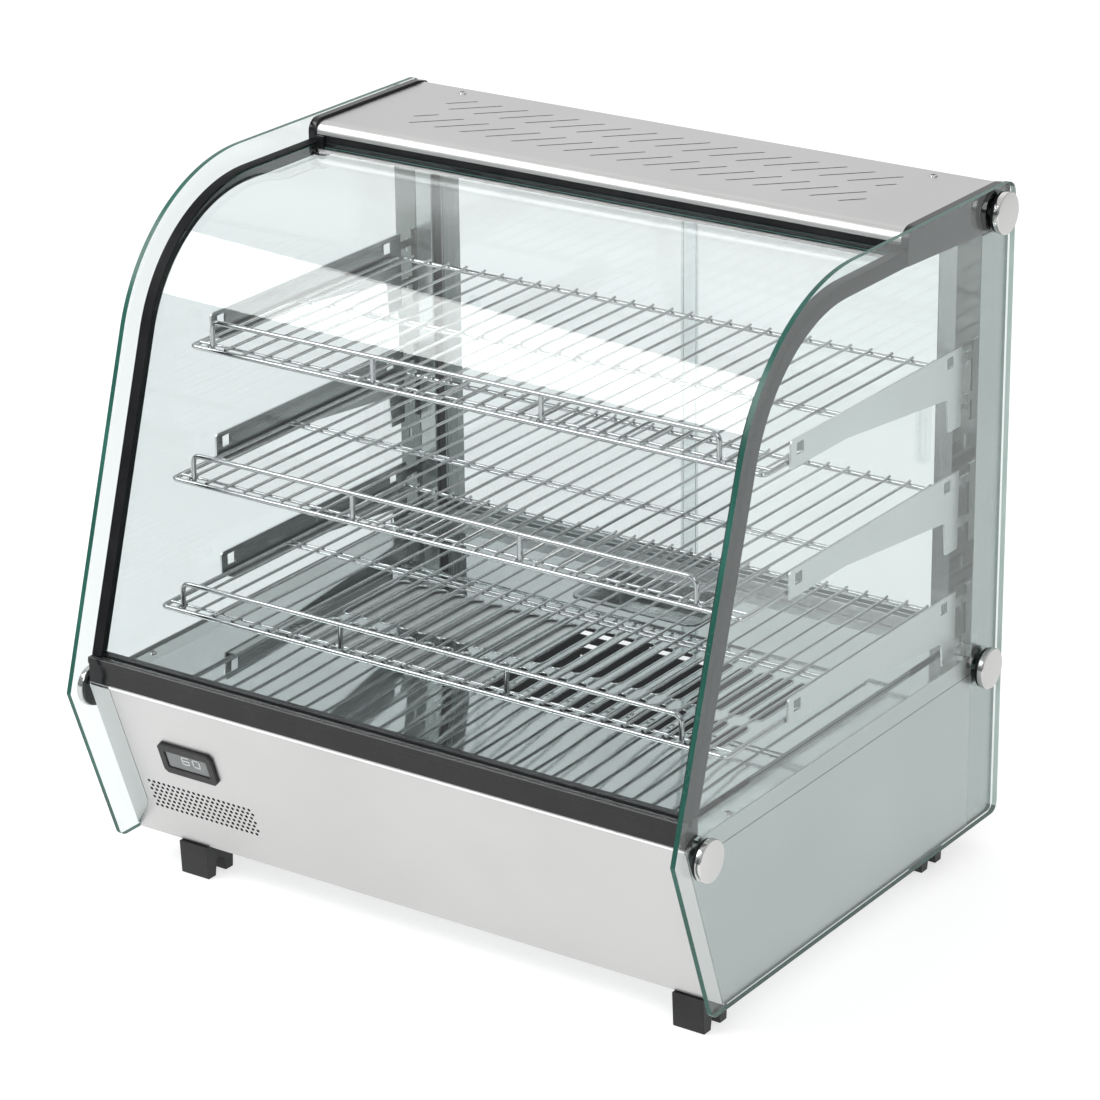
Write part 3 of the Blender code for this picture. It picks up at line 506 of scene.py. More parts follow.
def make_side_glass(name, side):
    """Side sheet with a hole for each cap; its rear edge lets daylight through and looks paler."""
    node = f"side_glass_{name}"
    start, end = span(side, GLASS_X, GLASS_X + GLASS)
    holes = []
    for place in CAP_PLACES:
        cap_low, cap_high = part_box(f"glass_cap_{place}_{name}")
        holes.append(circle(((cap_low.y + cap_high.y) / 2, (cap_low.z + cap_high.z) / 2), 0.0055, 24))
    bm = extruded(rounded(SIDE_CORNERS), "X", start, end, holes)
    made = pane(f"side_pane_{name}", bm, lambda face: abs(face.normal.x) > 0.9, GLASS_CLEAR, node)
    made.data.materials.append(PALE_EDGE)
    for polygon in made.data.polygons:
        if polygon.normal.y > 0.9:
            polygon.material_index = 3


def make_front_glass():
    bottom, end = low("front_glass").z, high("front_glass").y
    outer = front_curve(FRONT_GLASS_INSET, bottom, end)
    inner = front_curve(FRONT_GLASS_INSET + GLASS, bottom, end)
    start, stop = low("front_glass").x, high("front_glass").x
    rings = []
    for (y_out, z_out), (y_in, z_in) in zip(outer, inner):
        rings.append([Vector(p) for p in (
            (start, y_out, z_out), (stop, y_out, z_out), (stop, y_in, z_in), (start, y_in, z_in),
        )])
    bm = skinned(rings)

    def is_face(face):
        at_foot = face.center.z < bottom + 0.002 and face.normal.z < -0.99
        return abs(face.normal.x) < 0.5 and not at_foot

    pane("front_pane", bm, is_face, GLASS_FRONT, "front_glass", arris=0.0004)


def make_front_seal(name, side):
    """U strip with a rounded back over the front glass's side edge."""
    outer_inset, groove, depth = 0.0205, 0.0068, 0.0150
    web, lip, inner_lip = BODY_X - 0.0004, 0.3212, 0.3262
    leg = 0.0012
    glass_edge_x = high("front_glass").x + 0.0003
    section = [
        (web - 0.0010, 0.0), (web, 0.0010), (web, depth - 0.0010), (web - 0.0010, depth),
        (inner_lip + 0.0006, depth), (inner_lip, depth - 0.0006), (inner_lip, groove),
        (glass_edge_x, groove), (glass_edge_x, leg), (lip, leg), (lip, 0.0004), (lip + 0.0006, 0.0),
    ]
    columns = []
    for x, inset in section:
        points = front_curve(outer_inset + inset, 0.2355, 0.0997)
        columns.append([Vector((side * x, y, z)) for y, z in points])
    bm = skinned([list(ring) for ring in zip(*columns)])
    solid(f"seal_strip_{name}", bm, RUBBER, "black_rubber", [f"front_seal_{name}"], smooth=40)


def make_front_rail():
    """Gloss extrusion: tall front face, a proud lip with a bright arris, a ribbed top."""
    top = high("front_rail").z
    bottom = low("front_rail").z
    inset = FRONT_GLASS_INSET
    groove_front = front_curve(inset - 0.0003, 0.2282, 0.1)[0]
    groove_back = front_curve(inset + GLASS + 0.0003, 0.2282, 0.1)[0]
    mouth_front = front_curve(inset - 0.0003, top, 0.1)[0]
    mouth_back = front_curve(inset + GLASS + 0.0003, top, 0.1)[0]
    outline = [
        (-0.2600, bottom), (-0.2485, bottom), (-0.2485, 0.2155), (-0.2400, 0.2155), (-0.2400, top - 0.0006),
        (-0.2408, top), (-0.2440, top), (-0.2444, top - 0.0006), (-0.2450, top - 0.0006), (-0.2454, top),
        mouth_back, groove_back, groove_front, mouth_front,
        (-0.2575, top), (-0.2579, top - 0.0007), (-0.2586, top - 0.0007), (-0.2590, top),
        (-0.2604, top), (-0.2612, top - 0.0008), (-0.2612, 0.2287), (-0.2608, 0.2283), (-0.2600, 0.2283),
    ]
    x = high("front_rail").x
    solid("rail_extrusion", extruded(outline, "X", -x, x), BLACK_GLOSS, "black_plastic", ["front_rail"],
          bevel=0.00025)


# Base
def on_slope(bm):
    """Carries a shape drawn as (x, distance down the slope, depth) onto the front panel."""
    down = Vector((0, math.sin(PANEL_TILT), -math.cos(PANEL_TILT)))
    inward = Vector((0, math.cos(PANEL_TILT), math.sin(PANEL_TILT)))
    turn = Matrix((AXES["X"], down, inward)).transposed().to_4x4()
    bm.transform(Matrix.Translation(PANEL_TOP) @ turn)
    return bm


def make_front_panel():
    seam, right = SEAM_X, 0.3325
    outline = [
        (seam, 0.0003), (right, 0.0003), (right, PANEL_LENGTH), (-right, PANEL_LENGTH),
        (-right, 0.1810), (seam - 0.004, 0.1530), (seam, 0.1437),
    ]
    holes = [rectangle(-0.2655, -0.2060, 0.0585, 0.0890)]
    rows, columns, pitch_x, pitch_y, radius = 7, 21, 0.00605, 0.00517, 0.0018
    left, top = -0.3000, 0.1135
    for row in range(rows):
        shift = pitch_x / 2 if row % 2 else 0.0
        for column in range(columns):
            centre = (left + radius + shift + pitch_x * column, top + radius + pitch_y * row)
            holes.append(circle(centre, radius, 12))
    sheet = on_slope(extruded(outline, "Z", 0, SHEET, holes))
    rim = high("deck").x
    tuck = block((-rim, -0.2602, PANEL_TOP.z - 0.0014), (rim, -0.2495, PANEL_TOP.z - 0.0002))
    solid("front_sheet", merged([sheet, tuck]), STEEL, "stainless_steel", ["front_panel"])
    # The hem's light sheet paints the highlight along the folded edge; the black strip under it paints its
    # shade line.
    hem = on_slope(block((seam, 0.0003, -0.0007), (right, 0.0030, -0.0001)))
    solid("front_hem", hem, PAINTED_LIGHT_SHEET, "stainless_steel", bevel=0.00025)
    shade = on_slope(block((seam, 0.0030, -0.0002), (right, 0.0036, -0.00005)))
    solid("front_hem_shade", shade, SHADOW, "stainless_steel")
    # A black sheet behind the vent holes paints the shade inside them.
    dark = on_slope(block((-0.3045, 0.108, SHEET + 0.0001), (-0.168, 0.152, SHEET + 0.0008)))
    solid("vent_painted_shade", dark, SHADOW, "black_plastic")


SEGMENT_BARS = {
    "6": ("top", "left_high", "middle", "left_low", "right_low", "bottom"),
    "0": ("top", "left_high", "right_high", "left_low", "right_low", "bottom"),
}


def digit_bars(digit, left, top, width, height, stroke):
    """The bars of one seven-segment figure, lying just over the lens, whose pale colour paints a bright
    reflection on the lens.
    """
    half = height / 2
    over_lens = (-0.00212, -0.00202)
    places = {
        "top": (0, 0, width, stroke),
        "middle": (0, half - stroke / 2, width, stroke),
        "bottom": (0, height - stroke, width, stroke),
        "left_high": (0, 0, stroke, half),
        "right_high": (width - stroke, 0, stroke, half),
        "left_low": (0, half, stroke, half),
        "right_low": (width - stroke, half, stroke, half),
    }
    bars = []
    for name in SEGMENT_BARS[digit]:
        a, b, across, down = places[name]
        near = (left + a + CLOSE, top + b + CLOSE, over_lens[0])
        far = (left + a + across - CLOSE, top + b + down - CLOSE, over_lens[1])
        bars.append(on_slope(block(near, far)))
    return bars


def make_display():
    left, right, top, bottom = -0.2680, -0.2035, 0.0555, 0.0920
    chamfer = 0.004
    face = [
        (left + chamfer, top), (right - chamfer, top), (right, top + chamfer),
        (right, bottom - chamfer), (right - chamfer, bottom), (left + chamfer, bottom),
        (left, bottom - chamfer), (left, top + chamfer),
    ]
    window = rounded_rectangle(-0.2608, -0.2108, 0.0638, 0.0838, 0.0015)
    bezel = on_slope(extruded(face, "Z", -0.0035, -0.0003, [window]))
    solid("display_surround", bezel, BLACK, "black_plastic", ["display_bezel"], bevel=0.0008)
    behind = on_slope(block((-0.2650, 0.0590, 0.0002), (-0.2065, 0.0885, 0.014)))
    solid("display_case", behind, BLACK, "black_plastic")
    glazing = rounded_rectangle(-0.2606, -0.2110, 0.0640, 0.0836, 0.0014)
    lens = on_slope(extruded(glazing, "Z", -0.0020, 0.0001))
    solid("display_lens", lens, DISPLAY, "black_plastic", bevel=0.0003)
    # Pale bars shaped as the figures 60 paint the bright reflection on the lens.
    strokes = []
    first, pitch = -0.2425, 0.0130
    for i, digit in enumerate("60"):
        strokes += digit_bars(digit, first + i * pitch, 0.0662, 0.0095, 0.0100, 0.0016)
    solid("display_reflection_figures", merged(strokes), PAINTED_LENS_REFLECTION, "black_plastic")


def curl(y):
    """How far the deck's sheet rises towards its front edge."""
    reach = max(0.0, DECK_CURL_FROM - y)
    return DECK_CURL_RISE * (reach / (DECK_CURL_FROM - low("deck").y)) ** 2


def slot_lip(centre, near, far, width):
    """Rolled lip round one slot, standing proud of the sheet."""
    bead, steps = 0.0011, 8
    rows = []
    for k in range(steps + 1):
        turn = math.pi * k / steps
        grow = bead - bead * math.cos(turn)
        level = DECK_TOP - 0.0003 + 0.0012 * math.sin(turn)
        loop = slot(centre, near - grow + 0.0004, far + grow - 0.0004, width + 2 * grow - 0.0008)
        rows.append([Vector((a, b, level)) for a, b in loop])
    bm = bmesh.new()
    rows = [[bm.verts.new(point) for point in row] for row in rows]
    for inner, outer in zip(rows, rows[1:]):
        for j in range(len(inner)):
            following = (j + 1) % len(inner)
            bm.faces.new((inner[j], inner[following], outer[following], outer[j]))
    bmesh.ops.recalc_face_normals(bm, faces=bm.faces[:])
    return bm


def make_deck():
    """Mirror sheet with two rows of lipped slots, the tray's opening and a turned-down skirt."""
    width, pitch, first = 0.014, 0.0221, -0.2215
    front_row, back_row = (-0.0870, -0.0217), (-0.0065, 0.0925)
    columns = [first + pitch * i for i in range(22)]
    slots = [(x, *row, width) for x in columns for row in (front_row, back_row)]
    tray = rounded_rectangle(-0.0630, 0.0760, 0.1510, 0.2310, 0.008)
    x, notch = high("deck").x, 0.2887
    front, back, step = low("deck").y, high("deck").y, 0.2345
    middle = DECK_CURL_FROM
    right = [(x, middle), (x, step), (notch, step), (notch, back)]
    outline = [(-a, b) for a, b in right[::-1]] + right
    sheet = extruded(outline, "Z", DECK_TOP - SHEET, DECK_TOP, [slot(*place) for place in slots] + [tray])
    steps = 16
    rows = []
    for k in range(steps + 1):
        y = front + (middle - front) * k / steps
        level = DECK_TOP + curl(y)
        rows.append([(-x, y, level - SHEET), (x, y, level - SHEET), (x, y, level), (-x, y, level)])
    apron = skinned([[Vector(point) for point in row] for row in rows])
    inner = [(a * 0.995, b * 0.994) for a, b in outline]
    skirt = extruded(outline, "Z", low("deck").z, DECK_TOP - SHEET + 0.0002, [inner])
    solid("deck_sheet", merged([sheet, apron, skirt]), MIRROR, "polished_steel", ["deck"])
    lips = merged([slot_lip(*place) for place in slots])
    solid("deck_slot_lips", lips, MIRROR, "polished_steel", smooth=60)
    # Under the slots, a light sheet beneath the left half paints the light seen through them, and a black
    # sheet beneath the right half paints the shade.
    lit, shaded = DECK_TOP - SHEET - 0.0018, DECK_TOP - 0.030
    half_way = -0.0090
    lit_sheet = block((columns[0] - 0.02, -0.100, lit - 0.0006), (half_way, 0.108, lit))
    solid("deck_slot_painted_light", lit_sheet, PAINTED_LIGHT_SHEET, "galvanised_steel")
    shade_sheet = block((half_way + 0.001, -0.110, shaded - 0.0006), (columns[-1] + 0.040, 0.130, shaded))
    solid("deck_slot_painted_shade", shade_sheet, SHADOW, "galvanised_steel")


def make_rim(name, side):
    """The base's rim beside the deck: a ledge, an outer lip with a seam under it, and a screw."""
    inner, outer = high("deck").x + 0.0006, BODY_X + 0.0002
    front, back = low("deck").y + 0.009, high("deck").y - 0.0085
    ledge, lip, seam = PANEL_TOP.z + 0.0008, DECK_TOP - 0.0015, 0.1948
    x_low, x_high = span(side, inner, BODY_X - 0.0014)
    flat = block((x_low, front, ledge - 0.0007), (x_high, back, ledge))
    solid(f"rim_ledge_{name}", flat, RIM_STEEL, "stainless_steel", bevel=0.0002)
    x_low, x_high = span(side, BODY_X - 0.0012, outer)
    upright = block((x_low, front, seam), (x_high, back, lip))
    solid(f"rim_lip_{name}", upright, STEEL_BACK, "stainless_steel", bevel=0.0002)
    shade = block((x_low, front, seam - 0.0007), (x_high, back, seam - 0.0001))
    solid(f"rim_seam_{name}", shade, SHADOW, "stainless_steel")
    make_screw(f"rim_screw_{name}", (side * 0.3236, -0.1780, ledge), 0.0036)


# Shelves
def make_shelf(number):
    node = f"wire_shelf_{number}"
    start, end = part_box(node)
    thick, thin = 0.005, 0.003
    middle = start.z + thick / 2
    x = end.x - thick / 2
    front, back = start.y + thick / 2, end.y - thick / 2
    corners = [(-x, front, middle), (x, front, middle), (x, back, middle), (-x, back, middle)]
    loop = bent(corners, 0.006, loop=True)
    left, right = -0.296 + thick / 2, 0.270 - thick / 2
    rail_y = front + 0.0042
    rail_top = end.z - thick / 2
    bays = 3
    rail = bent([(left, rail_y, middle + 0.001), (left, rail_y, rail_top),
                 (right, rail_y, rail_top), (right, rail_y, middle + 0.001)], 0.009)
    posts = []
    for i in range(1, bays):
        post_x = left + (right - left) * i / bays
        posts.append([(post_x, rail_y, middle + 0.001), (post_x, rail_y, rail_top)])
    wires(f"shelf_frame_{number}", [rail, *posts], thick, CHROME, "chromed_wire", [node], node, [loop])
    count, pitch = 28, 0.022
    over = middle + (thick + thin) / 2 - 0.0006
    tip = 0.0012
    grid = []
    for i in range(count):
        grid_x = (i - (count - 1) / 2) * pitch
        path = [
            (grid_x, front - 0.0010, over),
            (grid_x, back - 0.006, over),
            (grid_x, back + 0.0012, over + tip),
        ]
        grid.append(bent(path, 0.003, 3))
    for y in (front + 0.012, (front + back) / 2 - 0.004, (front + back) / 2 + 0.004):
        under = over - thin + 0.0004
        grid.append([(-x, y, under), (x, y, under)])
    wires(f"shelf_grid_{number}", grid, thin, CHROME, "chromed_wire", body=node)


def make_arm(level, name, side):
    node = f"shelf_arm_{level}_{name}"
    start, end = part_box(node)
    top, front, back = end.z, start.y, 0.2250
    neck, hook, tongue = 0.2410, 0.2378, 0.0030
    outline = rounded([
        (front, top - 0.0265, 0.0012), (0.020, top - 0.0265, 0.020), (0.200, top - 0.0450, 0.004),
        (0.203, start.z, 0.001), (back, start.z, 0.002), (back, top, 0.0008), (front, top, 0.0045),
    ], 4)
    windows = [rectangle(y - 0.006, y + 0.006, top - 0.0155, top - 0.0045) for y in ARM_TAB_PLACES]
    x_low, x_high = span(side, ARM_INNER_X, ARM_OUTER_X)
    shapes = [extruded(outline, "X", x_low, x_high, windows)]
    for step in (0, 1):
        upper = top - 0.0090 - SLOT_PITCH * step
        lower = upper - 0.0080
        shapes.append(block((x_low, back - 0.0005, lower), (x_high, neck, upper)))
        shapes.append(block((x_low, hook, lower - tongue), (x_high, neck, lower + 0.0005)))
    ledge = top - 0.0243
    x_in, x_out = span(side, ARM_INNER_X - 0.0100, ARM_INNER_X + 0.0005)
    shapes.append(block((x_in, front + 0.004, ledge - SHEET), (x_out, 0.200, ledge)))
    made = solid(f"arm_bracket_{level}_{name}", merged(shapes), [ARM_STEEL, ARM_INWARD_SHADE], "stainless_steel",
                 [node], bevel=0.0003)
    # Faces turned towards the middle of the case take the darker copy: painted shade.
    for polygon in made.data.polygons:
        polygon.material_index = 1 if polygon.normal.x * side < -0.9 else 0
    tabs = []
    # The bent tabs take the dark steel: painted shade.
    for y in ARM_TAB_PLACES:
        tab = block((-0.0004, -0.0110, -0.0048), (0.0004, 0.0, 0.0048))
        turn = Matrix.Rotation(-side * math.radians(38), 4, "Z")
        tab.transform(Matrix.Translation((side * 0.3205, y + 0.0058, top - 0.0100)) @ turn)
        tabs.append(tab)
    solid(f"arm_tabs_{level}_{name}", merged(tabs), DARK_STEEL_SHADE, "stainless_steel", bevel=0.0002)
    dimple = [(0.0, 0.0), (0.0012, -0.0001), (0.0022, -0.0006), (0.0026, -0.0012), (0.0, -0.0012)]
    profile = [(radius, side * (ARM_INNER_X - 0.0004 - depth)) for radius, depth in dimple]
    pressed = turned(profile, "X", (0, 0.075, top - 0.0150), 20)
    solid(f"arm_dimple_{level}_{name}", pressed, STEEL_BACK, "stainless_steel")


def make_post(name, side):
    """Box column with a polished slotted strip on its front face and a gasket on its jamb."""
    node = f"rear_post_{name}"
    start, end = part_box(node)
    near, far, wall = 0.289, BODY_X, SHEET
    strip_foot = start.z + 0.19
    outline = rectangle(*span(side, near, far), start.y, end.y)
    hollow = rectangle(*span(side, near + wall, far - wall), start.y + wall, end.y - wall)
    column = extruded(outline, "Z", start.z, end.z, [hollow])
    solid(f"post_column_{name}", column, STEEL_UP, "stainless_steel", [node], bevel=0.0008)
    # The slotted strip's dark polished steel paints a dark reflection on it.
    x_low, x_high = span(side, 0.3078, 0.3325)
    slots = []
    for i in range(10):
        top = 0.515 - SLOT_PITCH * i
        slots.append(rectangle(*span(side, 0.3189, 0.3221), top - 0.014, top))
    face = rectangle(x_low, x_high, strip_foot, end.z)
    strip = extruded(face, "Y", start.y - 0.0009, start.y - 0.0001, slots)
    solid(f"post_strip_{name}", strip, PAINTED_DARK_REFLECTION, "stainless_steel", bevel=0.0002)
    # A thin sheet of dark steel over the jamb paints its shade.
    jamb_low, jamb_high = span(side, near - 0.0006, near - 0.0001)
    shade_sheet = block((jamb_low, start.y + 0.0008, DECK_TOP + 0.0006), (jamb_high, end.y - 0.0008, end.z))
    solid(f"post_jamb_{name}", shade_sheet, DARK_STEEL_SHADE, "stainless_steel", bevel=0.0001)
    jamb_low, jamb_high = span(side, near - 0.0022, near - 0.0007)
    gasket = block((jamb_low, start.y + 0.003, 0.2320), (jamb_high, start.y + 0.014, end.z))
    solid(f"post_gasket_{name}", gasket, RUBBER, "black_rubber", bevel=0.0004)
    # A black sheet inside the hollow column paints the shade within it.
    back_low, back_high = span(side, near + wall + 0.001, far - wall - 0.001)
    shadow = block((back_low, start.y + 0.012, strip_foot), (back_high, start.y + 0.013, end.z - 0.002))
    solid(f"post_inside_{name}", shadow, SHADOW, "stainless_steel")


# Head
def fold(front, back, top, bend, back_bend, steps=10):
    """(y, z) points over the head from its back fold to its front fold."""
    points = []
    for centre, radius, start in (
        ((back - back_bend, top - back_bend), back_bend, 0.0),
        ((front + bend, top - bend), bend, math.pi / 2),
    ):
        for k in range(steps + 1):
            turn = start + math.pi / 2 * k / steps
            points.append((centre[0] + radius * math.cos(turn), centre[1] + radius * math.sin(turn)))
    return points


def make_top_panel():
    """Flat slotted sheet with folded front and back edges."""
    start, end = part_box("top_panel")
    front, back, top = start.y, end.y, end.z
    bend, back_bend = 0.0112, 0.003
    outer = [(back, start.z)] + fold(front, back, top, bend, back_bend) + [(front, 0.6550)]
    inner = [(front + SHEET, 0.6550)]
    inner += fold(front + SHEET, back - SHEET, top - SHEET, bend - SHEET, back_bend - SHEET)[::-1]
    inner += [(back - SHEET, start.z)]
    flat_front, flat_back = front + bend, back - back_bend
    nose = [p for p in outer if p[0] <= flat_front + 1e-6 and p[1] > 0.6] + [
        p for p in inner if p[0] <= flat_front + 1e-6]
    tail = [p for p in inner if p[0] >= flat_back - 1e-6] + [
        p for p in outer if p[0] >= flat_back - 1e-6]
    slits = []
    pitch, length, shortest = 0.030, 0.0375, 0.006
    half = 0.0022 / 2 * math.sqrt(2)
    for first_x, near in ((-0.2484, 0.1495), (-0.2436, 0.2080)):
        for k in range(-2, 18):
            first = first_x + pitch * k
            begin = max(0.0, -0.258 - first)
            stop = min(length, 0.250 - first)
            if stop - begin < shortest:
                continue
            x_a, y_a, x_b, y_b = first + begin, near + begin, first + stop, near + stop
            slits.append([(x_a - half, y_a), (x_a + half, y_a), (x_b + half, y_b), (x_b - half, y_b)])
    wide, narrow = end.x + HEAD_LAP, end.x - 0.002
    plate = extruded(rectangle(-wide, wide, flat_front, flat_back), "Z", top - SHEET, top, slits)
    shapes = [plate, extruded(nose, "X", -wide, wide), extruded(tail, "X", -wide, wide)]
    solid("head_sheet", merged(shapes), STEEL, "stainless_steel", ["top_panel"], smooth=25)
    # A black sheet under the slits paints the shade seen through them.
    under = block((-narrow, flat_front, top - 0.0060), (narrow, flat_back - 0.004, top - 0.0054))
    solid("head_slot_painted_shade", under, SHADOW, "black_plastic")
    for i, screw_x in enumerate((-0.266, 0.266)):
        make_screw(f"head_screw_{i}", (screw_x, 0.262, top), 0.0038)


def make_screw(name, place, radius):
    """Domed cross-head screw standing on a sheet."""
    height = radius * 0.45
    rim = height * 0.25
    profile = [(0.0, -0.0005), (radius, -0.0005), (radius, rim)]
    for k in range(1, 6):
        turn = math.pi / 2 * k / 5
        profile.append((radius * math.cos(turn), rim + (height - rim) * math.sin(turn)))
    solid(name, turned(profile, "Z", place, 28), CAP_SIDE, "stainless_steel", smooth=50)
    # The black cross paints the shade in the screw's cross recess.
    reach, half = radius * 0.62, radius * 0.11
    arms = []
    for turn in (0.4, 0.4 + math.pi / 2):
        bar = block((-reach, -half, -height * 0.5), (reach, half, height * 0.12))
        bar.transform(Matrix.Rotation(turn, 4, "Z"))
        arms.append(bar)
    cross = merged(arms)
    cross.transform(Matrix.Translation(Vector(place) + AXES["Z"] * height * 0.93))
    solid(f"{name}_cross", cross, BLACK, "stainless_steel")


def make_head_trim(name, side):
    """End moulding of the head: an outer rim that stands proud, and a core that the sheet laps over."""
    start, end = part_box(f"head_trim_{name}")
    near, far = sorted((abs(start.x), abs(end.x)))
    lap = near + HEAD_LAP
    rim = rounded([
        (0.1000, 0.6345, 0.001), (0.2540, 0.6280, 0.001), (0.2855, 0.6280, 0.002),
        (0.2855, 0.6660, 0.005), (0.2700, 0.6695, 0.020), (0.1000, 0.6695, 0.0135),
    ], 6, 600)
    core = rounded([
        (0.0990, 0.6345, 0.001), (0.2540, 0.6280, 0.001), (0.2785, 0.6280, 0.001), (0.2785, 0.6640, 0.003),
        (0.1045, 0.6640, 0.009), (0.1045, 0.6545, 0.0004), (0.0990, 0.6545, 0.0004),
    ], 6, 600)
    x_low, x_high = span(side, lap, far)
    solid(f"head_cap_{name}", extruded(rim, "X", x_low, x_high), BLACK_GLOSS, "black_plastic",
          [f"head_trim_{name}"], bevel=0.0010, smooth=30, segments=3)
    x_low, x_high = span(side, near, lap + 0.0005)
    solid(f"head_core_{name}", extruded(core, "X", x_low, x_high), BLACK_GLOSS, "black_plastic", smooth=30)


# Caps that hold the side glasses
def make_cap(place, name, side):
    node = f"glass_cap_{place}_{name}"
    start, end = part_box(node)
    y, z = (start.y + end.y) / 2, (start.z + end.z) / 2
    inner, outer, radius = 0.3420, max(abs(start.x), abs(end.x)), (end.z - start.z) / 2
    profile = [(0.0, inner), (radius - 0.0008, inner), (radius, inner + 0.0008)]
    profile += [(radius, outer - 0.0014), (radius - 0.0002, outer - 0.0007)]
    profile += [(radius - 0.0007, outer - 0.0002), (radius - 0.0014, outer), (0.0, outer)]
    side_profile = [(r, side * level) for r, level in profile]
    made = solid(f"cap_{place}_{name}", turned(side_profile, "X", (0, y, z), 72), [CAP_FACE, CAP_SIDE],
                 "cap_steel", [node], smooth=25)
    for polygon in made.data.polygons:
        polygon.material_index = 0 if abs(polygon.normal.x) > 0.95 else 1
    stud = [(0.0, 0.3255), (0.0040, 0.3255), (0.0040, inner), (0.0, inner)]
    solid(f"stud_{place}_{name}", turned([(r, side * level) for r, level in stud], "X", (0, y, z), 32),
          CAP_SIDE, "cap_steel")
    washer = f"glass_washer_{place}_{name}"
    w_low, w_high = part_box(washer)
    near, far = sorted((abs(w_low.x), abs(w_high.x)))
    ring = [(0.0045, near), (0.0186, near), (0.0190, near + 0.0004), (0.0190, far - 0.0004),
            (0.0186, far), (0.0045, far)]
    solid(f"washer_{place}_{name}", turned([(r, side * level) for r, level in ring], "X", (0, y, z), 56),
          RUBBER, "black_rubber", [washer])


# Feet
def make_foot(node):
    start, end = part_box(node)
    near, far, top = start.y, end.y, end.z
    depth = far - near
    outline = rounded([
        (0.0018, 0, 0.001), (0.0130, 0, 0.001), (0.0152, 0.0150, 0.004), (0.0205, 0.0190, 0.005),
        (0.0258, 0.0150, 0.004), (0.0280, 0, 0.001), (0.0392, 0, 0.001),
        (depth, top, 0.0005), (0, top, 0.0005),
    ], 4)
    outline = [(near + a, b) for a, b in outline]
    bm = extruded(outline, "X", start.x, end.x)
    solid(f"{node}_moulding", bm, BLACK, "black_plastic", [node], bevel=0.0010)


# Doors, controls and the rest, which keep their CAD shapes
def refined(node, finish, slot_name, body=BODY, bevel=0.0003):
    """A CAD node's own shape as a new piece, its faceted corners welded and softened."""
    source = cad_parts[node]
    bm = bmesh.new()
    bm.from_mesh(source.data)
    bm.transform(source.matrix_world)
    bmesh.ops.remove_doubles(bm, verts=bm.verts[:], dist=1e-5)
    return solid(f"{node}_piece", bm, finish, slot_name, [node], body, bevel)


def make_doors():
    for name in SIDES:
        node = f"rear_door_{name}"
        start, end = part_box(node)
        bm = block(start, end)
        pane(f"door_pane_{name}", bm, lambda face: abs(face.normal.y) > 0.9, GLASS_CLEAR, node, node,
             0.0005, GLASS_CLEAR, POLISHED_EDGE)
        grip = f"door_pull_{name}"
        g_low, g_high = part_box(grip)
        rim, depth = 0.003, g_high.y - g_low.y
        outline = rounded_rectangle(g_low.x, g_high.x, g_low.z, g_high.z, 0.005, 8)
        inner = rounded_rectangle(
            g_low.x + rim, g_high.x - rim, g_low.z + rim, g_high.z - rim, 0.003, 8,
        )
        shapes = [extruded(outline, "Y", g_low.y, g_high.y, [inner])]
        shapes.append(extruded(inner, "Y", g_low.y, g_low.y + depth * 0.35))
        solid(f"door_grip_{name}", merged(shapes), ACRYLIC, "clear_glass", [grip], node, bevel=0.0006)


def make_pointer():
    """White line along the grip of the thermostat's knob."""
    start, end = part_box("thermostat_knob")
    x, z, face = (start.x + end.x) / 2, (start.z + end.z) / 2, end.y
    line = block((x - 0.0007, face - 0.0003, z + 0.0060), (x + 0.0007, face + 0.0001, z + 0.0180))
    solid("knob_pointer", line, WHITE_PRINT, "black_plastic", body="thermostat_knob")


def make_lamp():
    start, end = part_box("lamp")
    outline = rounded([
        (start.y, end.z, 0.001), (start.y, start.z, 0.005), (end.y, start.z, 0.005), (end.y, end.z, 0.001),
    ], 8)
    tube = extruded(outline, "X", start.x + 0.006, end.x - 0.006)
    solid("lamp_diffuser", tube, LAMP, "lamp_cover", ["lamp"])
    for i, (a, b) in enumerate(((start.x, start.x + 0.0058), (end.x - 0.0058, end.x))):
        solid(f"lamp_end_{i}", extruded(outline, "X", a, b), ZINC, "galvanised_steel", bevel=0.0004)


